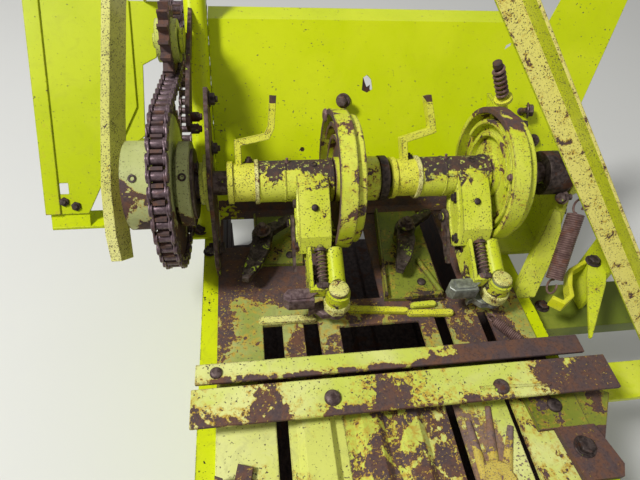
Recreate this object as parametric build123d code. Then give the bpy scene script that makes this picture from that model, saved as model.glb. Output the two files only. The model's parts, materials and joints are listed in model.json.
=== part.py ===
from build123d import *
import math
import os

# Twin knotter unit of a small square baler, on a short hollow section of its bale chamber.
# Millimetres. X runs across the chamber, Y along it towards the hood, Z up.
# Heights below are measured from the knotter shaft's axis; save() lifts every piece so
# that the chamber's feet stand at Z = 0 in the written files.

# Bale chamber
CHAMBER_W = 460.0          # clear width between the side walls
CHAMBER_H = 356.0          # clear height, floor pan to deck
WALL_T = 5.0               # side wall sheet
FLOOR_T = 6.0              # floor pan sheet
DECK_T = 6.0               # deck plates
SLAT_FRONT = -276.0        # front deck plate ends here and the rear slats begin
CHAMBER_REAR = -440.0      # rear end of the section
CHAMBER_FRONT = 320.0      # front end of the section, under the hood
FLANGE_W = 24.0            # outward flange on top of each wall
FOOT_W = 34.0              # outward flange under each wall
FOOT_HOLES_Y = (-400.0, 280.0)
FOOT_HOLE_R = 6.5
TIE_T = 8.0                # bar under the rear slats
BEAD_H = 9.0               # pressed stiffening beads

# Knotter shaft line
SHAFT_DROP = 140.0         # shaft axis above the deck's top face
SHAFT_R = 17.5
SPACER_R = 21.0            # spacer tubes on the shaft
RUN_FIT = 0.06             # radial clearance of a running fit
FACE_GAP = 0.3             # gap between faces that turn past each other
STUB_R = 15.0              # turned-down right end of the shaft, past its bearing
STUB_LEN = 16.0
KNOTTER_PITCH = 238.0      # distance between the two knotters
KNOTTER_X = -27.0          # left knotter's datum across the machine

# Cam wheels, across from the knotter's datum
WHEEL_R = 102.0
RIM_X = -36.0              # rim's left face
RIM_W = 24.0
RIM_T = 9.0
RING_W = 13.0              # lower ring behind the rim
RING_R = 94.0
WEB_X = -20.0
WEB_T = 8.0
WHEEL_HUB_R = 33.0
HUB_X = -30.0              # hub's left end
WHEEL_HUB_W = 66.0
TRACK_T = 7.0              # cam tracks on the web

# Knotter frames, across from the knotter's datum
SLEEVE_R = 30.0
SLEEVE_LEN = 113.0
SLEEVE_END = -31.0         # sleeve's right end
ARM_X = (-86.0, -42.0)     # casting's arm
CHEEK_X = (-77.0, -71.0)   # thin cheek below the arm
NOSE_X = -38.0             # bill hook spindle
NOSE_Y = -155.0
NOSE_TOP = -68.0
NOSE_R = 17.0
NOSE_H = 36.0
HOUSING_R = 13.0           # round housing from the arm to the nose
TENSION_X = -58.0          # tension screw beside the housing
TENSION_R = 5.0
HOOK_R = 8.0               # bill hook spindle
HOOK_REACH = 40.0
HOOK_T = 12.0
KNIFE_X = (-94.0, -90.0)
KNIFE_PIVOT = (-38.0, -50.0)
PIN_R = 6.0
TWINE_X = (-67.0, -58.0)
TWINE_DISC_AT = (-112.0, -84.0)
TWINE_DISC_R = 15.0
COLLAR_R = 28.0
COLLAR_W = 39.0

# Tucker fingers
TUCKER_X = -136.0          # pivot, from the knotter's datum
TUCKER_Y = -6.0
TUCKER_PIN_R = 9.0
TUCKER_LOW = 24.0          # underside of the finger above the deck
TUCKER_T = 12.0

# Chain drive
CHAIN_PITCH = 20.0
ROLLER_R = 6.0
ROLLER_W = 16.0
ROLLER_FIT = 0.8           # roller to the foot of the gap between teeth
PLATE_T = 2.5
PLATE_H = 17.0
BIG_TEETH = 35
IDLER_TEETH = 15
DRIVER_TEETH = 19
SPROCKET_T = 14.0
IDLER_AT = (175.0, 125.0)
HUB_R = 62.0               # knotter sprocket's outer hub
DRUM_R = 60.0              # clutch drum

# Deck fittings
ANGLE_H = 40.0             # cross angles stand this high on the deck
ANGLE_T = 6.0
LEAN = 40.0                # hood, post and guards lean forward, degrees from upright
HOOD_BASE_Y = 80.0
HOOD_T = 3.0
HOOD_SLOPE = 322.0         # foot to crease
HOOD_LIP = 42.0
WING_TOP = 392.0           # hood's right wing, along its slope
SEAT_GAP = 0.3             # gap at a seat between pieces that are bolted or welded
BAR_SPOTS = (110.0, 284.0) # edges of the two bars under the side guards
BAR_T = 5.0
POST_W = 35.0
POST_D = 44.0
POST_BEND = 14.0
POST_Y = 60.0              # where the post's axis meets the deck
GUARD_T = 3.0

# Places across the machine
HALF_W = CHAMBER_W / 2
OUTER = HALF_W + WALL_T
FOOT_HOLES_X = OUTER + FOOT_W / 2
LEFT_PLATE_X = -OUTER - 1  # left bearing plate
PLATE_STEEL = 6.0
POST_X = LEFT_PLATE_X - POST_W / 2
HOOD_LEFT = LEFT_PLATE_X + SEAT_GAP
HOOD_RIGHT = 367.0
DRUM_RIGHT = LEFT_PLATE_X - 22
CHAIN_X = DRUM_RIGHT - 29
HUB_LEFT = CHAIN_X - 57
SHAFT_LEFT = HUB_LEFT - 2
IDLER_HUB_W = 30.0
IDLER_ARM_X = CHAIN_X + IDLER_HUB_W / 2 + 2
DRIVER_PLATE_X = -OUTER - FLANGE_W - 9
DRIVER_Y = 322.0
DRIVER_Z = 52.0
GUARD_LEFT = -519.0        # side guard's outer edge
GUARD_SEAM = -495.0        # its edge strip ends here
RIGHT_PLATE_X = 318.0      # right bearing bracket's upright
RIGHT_PLATE_T = 8.0
BEARING_W = 12.0
STUB_FROM = RIGHT_PLATE_X + RIGHT_PLATE_T + BEARING_W
SHAFT_RIGHT = STUB_FROM + STUB_LEN
BEAM_END = 520.0
BRACE_FOOT = -205.0        # top of the bar that the brace stands on
BRACE_LEG = 32.0
BEAM_TOP = -185.0          # side beam's top face
LEVER_POST_X = (362.0, 370.0)
LEVER_TURN = 32.0          # lift levers lean towards the hood
LEVER_T = 9.0
KNOTTERS = [("left", KNOTTER_X), ("right", KNOTTER_X + KNOTTER_PITCH)]
# columns: from the knotter's datum, out from the shaft's axis
LEVERS = {
    "left": [(-162, 24), (-162, 53), (-122, 61), (-114, 76), (-110, 120)],
    "right": [(-155, 24), (-158, 53), (-114, 66), (-117, 84), (-125, 120)],
}
TUCKER_PLATES = {
    "left": [(-176, -46), (-100, -49), (-92, 60), (-176, 60)],
    "right": [(18, -128), (112, -134), (116, 60), (40, 60)],
}
# columns: x from, x to, radius of the rings on the shaft
SHAFT_RINGS = [
    (DRUM_RIGHT + FACE_GAP, DRUM_RIGHT + 4, 50),
    (DRUM_RIGHT + 4, LEFT_PLATE_X - BEARING_W - 1, SPACER_R),
    (KNOTTER_X + HUB_X + WHEEL_HUB_W + 1, KNOTTER_X + HUB_X + WHEEL_HUB_W + 13, 33),
    (KNOTTERS[1][1] + HUB_X + WHEEL_HUB_W + 25, RIGHT_PLATE_X - 6, 34),
]

DECK_TOP = -SHAFT_DROP
DECK_UNDER = DECK_TOP - DECK_T
FLOOR_TOP = DECK_UNDER - CHAMBER_H
BASE = FLOOR_TOP - FLOOR_T
RUN_R = SHAFT_R + RUN_FIT
BAR_TOP = DECK_UNDER - WALL_T
LEAN_Y = math.sin(math.radians(LEAN))
LEAN_Z = math.cos(math.radians(LEAN))


# Solids from outlines

def block(x, y, z):
    """Box between two limits on each axis."""
    size = [b - a for a, b in (x, y, z)]
    middle = [(a + b) / 2 for a, b in (x, y, z)]
    return Pos(*middle) * Box(*size)


def prism(axis, outline, low, high):
    """Straight prism of an outline: axis "x" takes (y, z) points, "y" (x, z), "z" (x, y)."""
    spots = {"x": lambda a, b: (low, a, b), "y": lambda a, b: (a, low, b), "z": lambda a, b: (a, b, low)}
    way = {"x": (1, 0, 0), "y": (0, 1, 0), "z": (0, 0, 1)}[axis]
    wire = Polyline(*[spots[axis](a, b) for a, b in outline], close=True)
    return extrude(make_face(wire), amount=high - low, dir=way)


def rod(start, end, radius):
    """Round bar between two points."""
    start, end = Vector(*start), Vector(*end)
    run = end - start
    place = Plane(origin=start, z_dir=run)
    return place * Cylinder(radius, run.length, align=(Align.CENTER, Align.CENTER, Align.MIN))


def disc(x0, x1, radius, y=0.0, z=0.0):
    """Round disc or tube blank on an axis along X."""
    return rod((x0, y, z), (x1, y, z), radius)


def strip(points, thickness):
    """Outline of a bent sheet: the open line of points, thickened to its left side."""
    normals = []
    for (ax, ay), (bx, by) in zip(points, points[1:]):
        length = math.hypot(bx - ax, by - ay)
        normals.append(((ay - by) / length, (bx - ax) / length))
    other = []
    for i, (px, py) in enumerate(points):
        before = normals[max(i - 1, 0)]
        after = normals[min(i, len(normals) - 1)]
        share = thickness / (1 + before[0] * after[0] + before[1] * after[1])
        other.append((px + share * (before[0] + after[0]), py + share * (before[1] + after[1])))
    return list(points) + other[::-1]


def save(name, shape):
    """Lift a piece onto its feet and write it."""
    export_step(Pos(0, 0, -BASE) * shape, f"parts/{name}.step")


def leaning(y, along, off=0.0):
    """Point (y, z) on a line that leans with the hood from the deck, moved off its face."""
    return (y + along * LEAN_Y - off * LEAN_Z, DECK_TOP + along * LEAN_Z + off * LEAN_Y)


def lean_sheet(outline, y, low, high):
    """Flat plate in a leaning plane: (x, along) corners, between two distances off the plane."""
    wire = Polyline(*[(x, *leaning(y, along, low)) for x, along in outline], close=True)
    return extrude(make_face(wire), amount=high - low, dir=(0, -LEAN_Z, LEAN_Y))


# Bale chamber

def side_wall(side):
    """Wall sheet with foot flange, top flange and two pressed beads, drawn for +X and mirrored."""
    mid = (DECK_UNDER + BASE) / 2
    line = [(OUTER + FOOT_W, BASE), (HALF_W, BASE)]
    for z in (mid - 90, mid + 50):
        line += [(HALF_W, z), (HALF_W + BEAD_H, z + 10), (HALF_W + BEAD_H, z + 30), (HALF_W, z + 40)]
    line += [(HALF_W, DECK_UNDER), (OUTER + FLANGE_W, DECK_UNDER)]
    outline = [(side * a, b) for a, b in strip(line, -WALL_T)]
    wall = prism("y", outline, CHAMBER_REAR, CHAMBER_FRONT)
    for y in FOOT_HOLES_Y:
        wall -= rod((side * FOOT_HOLES_X, y, BASE - 1), (side * FOOT_HOLES_X, y, BASE + WALL_T + 1), FOOT_HOLE_R)
    return wall


def floor_pan():
    """Floor sheet between the walls, with four lengthwise beads."""
    line = [(-HALF_W, BASE)]
    for x in (-165, -65, 65, 165):
        line += [(x - 26, BASE), (x - 16, BASE + BEAD_H), (x + 16, BASE + BEAD_H), (x + 26, BASE)]
    line += [(HALF_W, BASE)]
    return prism("y", strip(line, FLOOR_T), CHAMBER_REAR, CHAMBER_FRONT)


# columns: x from, x to, y from, y to of each hole through the front deck plate
DECK_HOLES = [
    (-228, -176, -2, 74), (-170, -142, -211, -156), (-111, -89, -211, -156), (-58, 64, -214, -166),
    (89, 107, -211, -160), (158, 174, -211, -156), (-60, 14, -120, 40), (118, 150, -120, 60),
]


def front_deck():
    """Slotted deck plate under the knotters."""
    plate = block((-OUTER, OUTER), (SLAT_FRONT, CHAMBER_FRONT), (DECK_UNDER, DECK_TOP))
    for x0, x1, y0, y1 in DECK_HOLES:
        plate -= block((x0, x1), (y0, y1), (DECK_UNDER - 1, DECK_TOP + 1))
    return plate


def rear_tie():
    """Flat bar under the slats' rear ends."""
    low = DECK_UNDER - TIE_T
    return block((-HALF_W, HALF_W), (CHAMBER_REAR, CHAMBER_REAR + 30), (low, DECK_UNDER))


# columns: name, (x, rise) points of each rear slat's cross-section
REAR_SLATS = [
    ("left", [(-OUTER, 0), (-160, 0)]),
    ("ridged", [(-145, 0), (-132, 0), (-124, 10), (-96, 10), (-88, 0), (-74, 0)]),
    ("corrugated", [(-74, 0), (-60, 0), (-50, 8), (-34, 8), (-24, 0), (-8, 0), (2, 8), (18, 8), (28, 0), (64, 0)]),
    ("fan", [(76, 0), (148, 0)]),
    ("right", [(156, 0), (OUTER, 0)]),
]


def rear_slat(line):
    """Lengthwise slat of the rear deck, with pressed ridges."""
    points = [(x, DECK_UNDER + rise) for x, rise in line]
    slat = prism("y", strip(points, DECK_T), CHAMBER_REAR, SLAT_FRONT)
    return slat


def fan_ribs(slat):
    """Four ribs pressed into the fan slat, spreading towards the rear."""
    for i in range(4):
        x0 = 100 + 8 * i
        x1 = 84 + 17 * i
        start = Vector(x0, -300, DECK_TOP)
        end = Vector(x1, -420, DECK_TOP)
        slat += rod(start, end, 4)
    return slat


def cross_angle(x0, x1, y_front, width):
    """Angle iron across the deck: front leg on the deck, flat leg on top towards the rear."""
    top = DECK_TOP + ANGLE_H
    line = [(y_front, DECK_TOP), (y_front, top), (y_front - width, top)]
    return prism("x", strip(line, ANGLE_T), x0, x1)


# Hood and guards

def hood_panel():
    """Leaning sheet ahead of the knotters: bent foot and top edge, right wing, torn hole and slit."""
    foot = leaning(HOOD_BASE_Y, 0)
    top = leaning(HOOD_BASE_Y, HOOD_SLOPE)
    line = [(foot[0] - 18, foot[1]), foot, top, (top[0] + HOOD_LIP, top[1] + 2)]
    sheet = prism("x", strip(line, HOOD_T), HOOD_LEFT, HOOD_RIGHT)
    wing = [(HOOD_RIGHT - 1, 0), (453, 191), (543, WING_TOP), (414, WING_TOP), (373, HOOD_SLOPE),
            (HOOD_RIGHT - 1, HOOD_SLOPE)]
    sheet += lean_sheet(wing, HOOD_BASE_Y, 0, HOOD_T)
    torn = [(24, 207), (33, 203), (43, 209), (41, 226), (34, 233), (26, 228)]
    slit = [(290, 277), (302, 284), (304, 289), (293, 284)]
    round_hole = [(-85 + 4 * math.cos(a), 107 + 4 * math.sin(a)) for a in (0, 1.05, 2.1, 3.14, 4.19, 5.24)]
    for outline in (torn, slit, round_hole):
        sheet -= lean_sheet(outline, HOOD_BASE_Y, -1, HOOD_T + 1)
    return sheet


def post_bar(gap=0.0):
    """Round-cornered bar on the post's leaning axis, grown by a gap."""
    low, high = Vector(POST_X, *leaning(POST_Y, -40)), Vector(POST_X, *leaning(POST_Y, 400))
    run = high - low
    outline = RectangleRounded(POST_W + 2 * gap, POST_D + 2 * gap, POST_BEND)
    section = Plane(origin=low, x_dir=(1, 0, 0), z_dir=run) * outline
    return extrude(section, amount=run.length)


def post_tube():
    """Post that leans beside the hood's left edge, on a flat shoe."""
    foot = leaning(POST_Y, 0)
    post = post_bar() - block((-400, 0), (-200, 300), (DECK_TOP - 200, DECK_TOP))
    return post + block((POST_X - 26, -OUTER), (foot[0] - 36, foot[0] + 36), (DECK_UNDER, DECK_TOP))


def left_guard():
    """Leaning side guard with a raised strip and a bent edge on its outer side."""
    corners = [(GUARD_SEAM, 8), (-451, 8), (-359, 183), (-359, 350), (GUARD_SEAM, 350)]
    edge = [(GUARD_LEFT, 8), (GUARD_SEAM, 8), (GUARD_SEAM, 350), (GUARD_LEFT, 350)]
    fold = [(GUARD_LEFT, 8), (GUARD_LEFT + GUARD_T, 8), (GUARD_LEFT + GUARD_T, 350), (GUARD_LEFT, 350)]
    hole = [(-494, 42), (-480, 42), (-480, 60), (-494, 60)]
    sheet = lean_sheet(corners, HOOD_BASE_Y, 0, GUARD_T)
    sheet += lean_sheet(edge, HOOD_BASE_Y, 0, 2 * GUARD_T)
    sheet += lean_sheet(fold, HOOD_BASE_Y, -20, 0)
    return sheet - lean_sheet(hole, HOOD_BASE_Y, -1, 3 * GUARD_T)


def guard_bar_rear():
    """Flat bar from the left wall, under its top flange, with a lip that leans behind the side guard."""
    inner = -451
    heel = leaning(HOOD_BASE_Y, -16, -SEAT_GAP)[0]
    lip = [(GUARD_LEFT + 6, -16), (inner, -16), (inner, 35), (GUARD_LEFT + 6, 35)]
    bar = block((GUARD_LEFT + 6, -OUTER), (heel, BAR_SPOTS[0]), (BAR_TOP - BAR_T, BAR_TOP))
    return bar + lean_sheet(lip, HOOD_BASE_Y, -BAR_T - SEAT_GAP, -SEAT_GAP)


def guard_bar_front():
    """Angle bar from the left wall, with an upright that stands under the side guard."""
    y, left = BAR_SPOTS[1], GUARD_LEFT + 7
    line = [(y + 34, BAR_TOP - 30), (y + 34, BAR_TOP), (y, BAR_TOP)]
    bar = prism("x", strip(line, BAR_T), left, -OUTER)
    bar += block((left, left + 28), (y + 16, y + 16 + BAR_T), (BAR_TOP - BAR_T, 200))
    above = [(left - 9, 0), (0, 0), (0, 500), (left - 9, 500)]
    return bar - lean_sheet(above, HOOD_BASE_Y, -SEAT_GAP, 300)


# columns: y, z, way inwards in degrees, x of the left edge, of the ridge and of the deep edge
ARCH = [
    (-60, -92, -40, -384, -369, -359), (-34, -62, -40, -389, -374, -361), (7, -12, -40, -389, -375, -360),
    (78, 72, -40, -380, -368, -353), (171, 183, -40, -366, -354, -340), (240, 232, -93, -360, -348, -334),
    (326, 146, -135, -356, -344, -330),
]


def arch_guard():
    """Angle-shaped guard strip that arches over the outside of the chain to the inner guard."""
    rings = []
    for y, z, way, left, ridge, deep in ARCH:
        across, down = math.cos(math.radians(way)), math.sin(math.radians(way))
        corners = [(left, 0), (ridge, 0), (deep, 30), (deep - 5, 30), (ridge - 4, 4), (left, 4)]
        wire = Polyline(*[(x, y + d * across, z + d * down) for x, d in corners], close=True)
        rings.append(make_face(wire))
    bands = [loft([a, b], ruled=True) for a, b in zip(rings, rings[1:])]
    behind = [(-450, -500), (-250, -500), (-250, 500), (-450, 500)]
    return bands[0].fuse(*bands[1:]) - lean_sheet(behind, HOOD_BASE_Y, -300, 0)


def inner_guard():
    """Leaning sheet between the side guard and the chain, behind the side guard's edge."""
    outline = [(-378, 350), (-312, 350), (-322, 262), (-345, 250), (-350, 135), (-385, 110)]
    return lean_sheet(outline, HOOD_BASE_Y, -GUARD_T - SEAT_GAP, -SEAT_GAP)


# Chain drive

def pitch_radius(teeth):
    """Radius on which the chain's rollers sit."""
    return CHAIN_PITCH / (2 * math.sin(math.pi / teeth))


def tangent(a, b):
    """Common tangent of two circles (y, z, signed radius), as its two touching points."""
    (ay, az, ar), (by, bz, br) = a, b
    gap = math.hypot(by - ay, bz - az)
    along = math.atan2(bz - az, by - ay)
    lean = math.asin((ar - br) / gap)
    side = along + math.pi / 2 - lean
    ny, nz = math.cos(side), math.sin(side)
    return (ay + ar * ny, az + ar * nz), (by + br * ny, bz + br * nz)


class Loop:
    """Closed chain path over circles that it rounds clockwise (radius over 0) or passes outside."""

    def __init__(self, circles):
        self.pieces = []
        ties = [tangent(c, circles[(i + 1) % len(circles)]) for i, c in enumerate(circles)]
        for i, (cy, cz, cr) in enumerate(circles):
            start, end = ties[i - 1][1], ties[i][0]
            first = math.atan2(start[1] - cz, start[0] - cy)
            last = math.atan2(end[1] - cz, end[0] - cy)
            turn = (first - last) % (2 * math.pi) if cr > 0 else -((last - first) % (2 * math.pi))
            self.pieces.append(("arc", abs(cr * turn), (cy, cz, abs(cr), first, turn)))
            run = math.dist(ties[i][0], ties[i][1])
            self.pieces.append(("line", run, ties[i]))
        self.length = sum(piece[1] for piece in self.pieces)

    def at(self, s):
        """Point (y, z) at a distance along the path."""
        s %= self.length
        for kind, size, data in self.pieces:
            if s <= size:
                break
            s -= size
        share = min(s / size, 1)
        if kind == "line":
            (ay, az), (by, bz) = data
            return (ay + share * (by - ay), az + share * (bz - az))
        cy, cz, radius, first, turn = data
        angle = first - share * turn
        return (cy + radius * math.cos(angle), cz + radius * math.sin(angle))

    def pins(self, count):
        """Pin centres, each one pitch from the last, and how far the last step overshoots."""
        s, spots = 0.0, []
        for _ in range(count):
            spots.append(self.at(s))
            low, high = s, s + 1.2 * CHAIN_PITCH
            for _ in range(40):
                middle = (low + high) / 2
                if math.dist(self.at(middle), spots[-1]) < CHAIN_PITCH:
                    low = middle
                else:
                    high = middle
            s = low
        return spots, s - self.length


def chain_loop(driver_y):
    """Path round the knotter sprocket, under the idler and round the driver."""
    return Loop([
        (0, 0, pitch_radius(BIG_TEETH)),
        (*IDLER_AT, -pitch_radius(IDLER_TEETH)),
        (driver_y, DRIVER_Z, pitch_radius(DRIVER_TEETH)),
    ])


def fit_chain():
    """Driver place at which a whole even number of links closes the loop."""
    count = 2 * round(chain_loop(DRIVER_Y).length / CHAIN_PITCH / 2)
    low, high = DRIVER_Y - 30, DRIVER_Y + 30
    for _ in range(30):
        middle = (low + high) / 2
        if chain_loop(middle).pins(count)[1] > 0:
            low = middle
        else:
            high = middle
    return low, chain_loop(low).pins(count)[0]


def polygon_rod(y, z, radius, x0, x1, sides, turn=0.0):
    """Many-sided bar along X."""
    points = []
    for i in range(sides):
        angle = turn + 2 * math.pi * i / sides
        points.append((y + radius * math.cos(angle), z + radius * math.sin(angle)))
    return prism("x", points, x0, x1)


def chain(pins):
    """Roller chain: rollers, and waisted inner and outer plates in turn."""
    solids = []
    half = ROLLER_W / 2
    for i, (ay, az) in enumerate(pins):
        by, bz = pins[(i + 1) % len(pins)]
        angle = math.atan2(bz - az, by - ay)
        solids.append(polygon_rod(ay, az, ROLLER_R, CHAIN_X - half, CHAIN_X + half, 6, angle))
        reach, waist, h = 7.5, CHAIN_PITCH / 2, PLATE_H / 2
        shape = [(-reach, 0), (-4, h), (4, h), (waist, h - 3), (CHAIN_PITCH - 4, h), (CHAIN_PITCH + 4, h),
                 (CHAIN_PITCH + reach, 0), (CHAIN_PITCH, -h), (waist, 3 - h), (0, -h)]
        turned = [(ay + a * math.cos(angle) - b * math.sin(angle), az + a * math.sin(angle) + b * math.cos(angle))
                  for a, b in shape]
        near = half + (i % 2) * PLATE_T
        for side in (-1, 1):
            low, high = sorted((CHAIN_X + side * near, CHAIN_X + side * (near + PLATE_T)))
            solids.append(prism("x", turned, low, high))
    return solids[0].fuse(*solids[1:])


def toothed(teeth, y, z, phase, mouth=8.4):
    """Sprocket plate whose gaps hold the rollers, the first gap at the phase angle."""
    root = pitch_radius(teeth) - ROLLER_R - ROLLER_FIT
    tip = CHAIN_PITCH * (0.6 + 1 / math.tan(math.pi / teeth)) / 2
    floor = 0.77 * ROLLER_R
    points = []
    for i in range(teeth):
        angle = phase + 2 * math.pi * i / teeth
        for out, side in ((tip, -mouth), (root, -floor), (root, floor), (tip, mouth)):
            points.append((y + out * math.cos(angle) - side * math.sin(angle),
                           z + out * math.sin(angle) + side * math.cos(angle)))
    return prism("x", points, CHAIN_X - SPROCKET_T / 2, CHAIN_X + SPROCKET_T / 2)


def phase_of(pins, y, z, teeth):
    """Angle of the pin that lies best on a sprocket's pitch circle."""
    pin = min(pins, key=lambda p: abs(math.dist(p, (y, z)) - pitch_radius(teeth)))
    return math.atan2(pin[1] - z, pin[0] - y)


def big_sprocket(pins):
    """Knotter sprocket with its outer hub and the clutch drum, turning free on the shaft."""
    left, right = CHAIN_X - SPROCKET_T / 2, CHAIN_X + SPROCKET_T / 2
    wheel = toothed(BIG_TEETH, 0, 0, phase_of(pins, 0, 0, BIG_TEETH))
    wheel += disc(left - 12, left, 45) + disc(HUB_LEFT, left - 12, HUB_R)
    wheel += disc(right, right + 6, 45) + disc(right + 6, DRUM_RIGHT, DRUM_R)
    return wheel - disc(HUB_LEFT - 1, DRUM_RIGHT + 1, RUN_R)


def idler(pins):
    """Idler sprocket with a hub flange each side and its axle."""
    y, z = IDLER_AT
    wheel = toothed(IDLER_TEETH, y, z, phase_of(pins, y, z, IDLER_TEETH), 9.2)
    wheel += disc(CHAIN_X - IDLER_HUB_W / 2, CHAIN_X + IDLER_HUB_W / 2, 30, y, z)
    return wheel + disc(CHAIN_X - IDLER_HUB_W / 2 - 6, IDLER_ARM_X, 10, y, z)


def idler_arm():
    """Flat arm from the post to the idler's axle."""
    y, z = IDLER_AT
    foot = leaning(POST_Y, 290)
    arm = disc(IDLER_ARM_X, IDLER_ARM_X + 6, 18, y, z)
    along = math.atan2(foot[1] - z, foot[0] - y)
    run = math.dist(foot, (y, z)) - 5
    bar = [(0, -14), (run, -14), (run, 14), (0, 14)]
    turned = [(y + a * math.cos(along) - b * math.sin(along), z + a * math.sin(along) + b * math.cos(along))
              for a, b in bar]
    arm += prism("x", turned, IDLER_ARM_X, IDLER_ARM_X + 6)
    return arm - post_bar()


def driver(pins, driver_y):
    """Driver sprocket on its stub axle."""
    wheel = toothed(DRIVER_TEETH, driver_y, DRIVER_Z, phase_of(pins, driver_y, DRIVER_Z, DRIVER_TEETH))
    wheel += disc(CHAIN_X - 20, CHAIN_X + 12, 28, driver_y, DRIVER_Z)
    return wheel + disc(CHAIN_X + 12, DRIVER_PLATE_X, 15, driver_y, DRIVER_Z)


def driver_plate(driver_y):
    """Plate beside the left wall's flange that carries the driver's stub."""
    outline = [(BAR_SPOTS[1], BAR_TOP), (BAR_SPOTS[1] + 34, BAR_TOP), (driver_y + 24, DRIVER_Z),
               (driver_y, DRIVER_Z + 24), (driver_y - 24, DRIVER_Z)]
    return prism("x", outline, DRIVER_PLATE_X, DRIVER_PLATE_X + 8)


def clutch_latch():
    """Ragged bell crank with two rollers above the drum, held at the post."""
    left = IDLER_ARM_X + 7
    outline = [(47, 66), (66, 84), (104, 96), (150, 112), (264, 136), (262, 122), (156, 96), (118, 78), (84, 56),
               (60, 46)]
    crank = prism("x", outline, left, left + 6)
    for y, z in ((52, 57), (74, 62)):
        crank += disc(left + 6, left + 16, 7, y, z)
    return crank - post_bar()


# Shaft and what turns with it

def shaft():
    """Knotter shaft with its spacer tubes, end rings and the clutch dog."""
    bar = disc(SHAFT_LEFT, STUB_FROM, SHAFT_R) + disc(STUB_FROM, SHAFT_RIGHT, STUB_R)
    for x0, x1, radius in SHAFT_RINGS:
        bar += disc(x0, x1, radius)
    return bar


def cam_wheel(x):
    """Cam wheel: rim, lower ring, web, long hub and two cam tracks on its left face."""
    rim, ring = x + RIM_X, x + RIM_X + RIM_W
    web = x + WEB_X
    wheel = disc(rim, ring, WHEEL_R) + disc(ring, ring + RING_W, RING_R)
    wheel -= disc(rim, web, WHEEL_R - RIM_T) + disc(web + WEB_T, ring + RING_W, RING_R - RIM_T)
    wheel += disc(x + HUB_X, x + HUB_X + WHEEL_HUB_W, WHEEL_HUB_R)
    outer = disc(web - 12, web, 84) - disc(web - 12, web, 84 - TRACK_T)
    inner = disc(web - 9, web, 66) - disc(web - 9, web, 66 - TRACK_T)
    wheel += outer - prism("x", [(0, 0), (140, 30), (140, -140), (-60, -140)], web - 13, web)
    wheel += inner - prism("x", [(0, 0), (-140, 60), (-140, -140), (60, -140)], web - 13, web)
    return wheel - disc(x + RIM_X - 1, x + HUB_X + WHEEL_HUB_W + 1, SHAFT_R)


# Knotters

def knotter_frame(x):
    """Knotter casting: sleeve, arm, cheek with its windows, screw, housing, nose and square clamp."""
    arm = [(-5, 28), (-36, 20), (-62, 2), (-92, -24), (-99, -50), (-78, -76), (-40, -62), (-8, -26)]
    cheek = [(-60, -26), (-100, -40), (-142, -62), (-156, -76), (-150, -92), (-120, -98), (-78, -88), (-50, -60)]
    windows = [[(-80, -58), (-98, -64), (-94, -82), (-76, -76)], [(-124, -68), (-140, -76), (-136, -84), (-126, -84)]]
    left, right = x + CHEEK_X[0], x + CHEEK_X[1]
    frame = disc(x + SLEEVE_END - SLEEVE_LEN, x + SLEEVE_END, SLEEVE_R)
    frame += prism("x", arm, x + ARM_X[0], x + ARM_X[1])
    plate = prism("x", cheek, left, right)
    for window in windows:
        plate -= prism("x", window, left - 1, right + 1)
    frame += plate
    nose = (x + NOSE_X, NOSE_Y)
    frame += rod((x + NOSE_X, -91, -52), (*nose, NOSE_TOP - 12), HOUSING_R)
    frame += rod((*nose, NOSE_TOP - NOSE_H), (*nose, NOSE_TOP), NOSE_R)
    frame += rod((x + TENSION_X, -84, -36), (x + TENSION_X, -148, -70), TENSION_R)
    frame += block((left, x + NOSE_X), (-152, -142), (-82, -66))
    clamp = [(x - 112, -150), (x - 106, -142), (x - 72, -142), (x - 72, -162), (x - 106, -162), (x - 112, -156)]
    frame += prism("z", clamp, -94, -74)
    frame += disc(x + KNIFE_X[0] - 3, x + ARM_X[0], PIN_R, *KNIFE_PIVOT)
    frame += disc(right, x + TWINE_X[1] + 2, PIN_R, *TWINE_DISC_AT)
    frame -= disc(x + SLEEVE_END - SLEEVE_LEN - 1, x + SLEEVE_END + 1, RUN_R)
    bore = rod((*nose, NOSE_TOP - 80), (*nose, NOSE_TOP + 20), HOOK_R + RUN_FIT)
    return frame - bore - rod((*nose, NOSE_TOP), (*nose, NOSE_TOP + 30), 15)


def bill_hook(x):
    """Bill hook: spindle through the nose, hooked arm and jaw below it, cap on top."""
    low = NOSE_TOP - NOSE_H - FACE_GAP
    at = (x + NOSE_X, NOSE_Y)
    hook = rod((*at, low - HOOK_T), (*at, NOSE_TOP + FACE_GAP + 5), HOOK_R)
    hook += rod((*at, NOSE_TOP + FACE_GAP), (*at, NOSE_TOP + FACE_GAP + 5), 13)
    hook += rod((*at, low - HOOK_T), (*at, low), 15)
    outline = [(8, -12), (8, 12), (-20, 12), (-34, 8), (-HOOK_REACH, 1), (-HOOK_REACH, -6), (-30, -2), (-20, -12)]
    arm = prism("z", [(at[0] + a, at[1] + b) for a, b in outline], low - HOOK_T, low)
    return hook + arm


def knife_arm(x):
    """Knife arm on its pin beside the casting."""
    y, z = KNIFE_PIVOT
    low, high = x + KNIFE_X[0], x + KNIFE_X[1]
    outline = [(y - 5, z + 9), (y + 9, z), (y + 4, z - 10), (-76, -92), (-92, -98), (-98, -92), (-70, -62)]
    arm = prism("x", outline, low, high) + disc(low, high, 12, y, z)
    return arm - disc(low - 1, high + 1, PIN_R + RUN_FIT, y, z)


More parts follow.
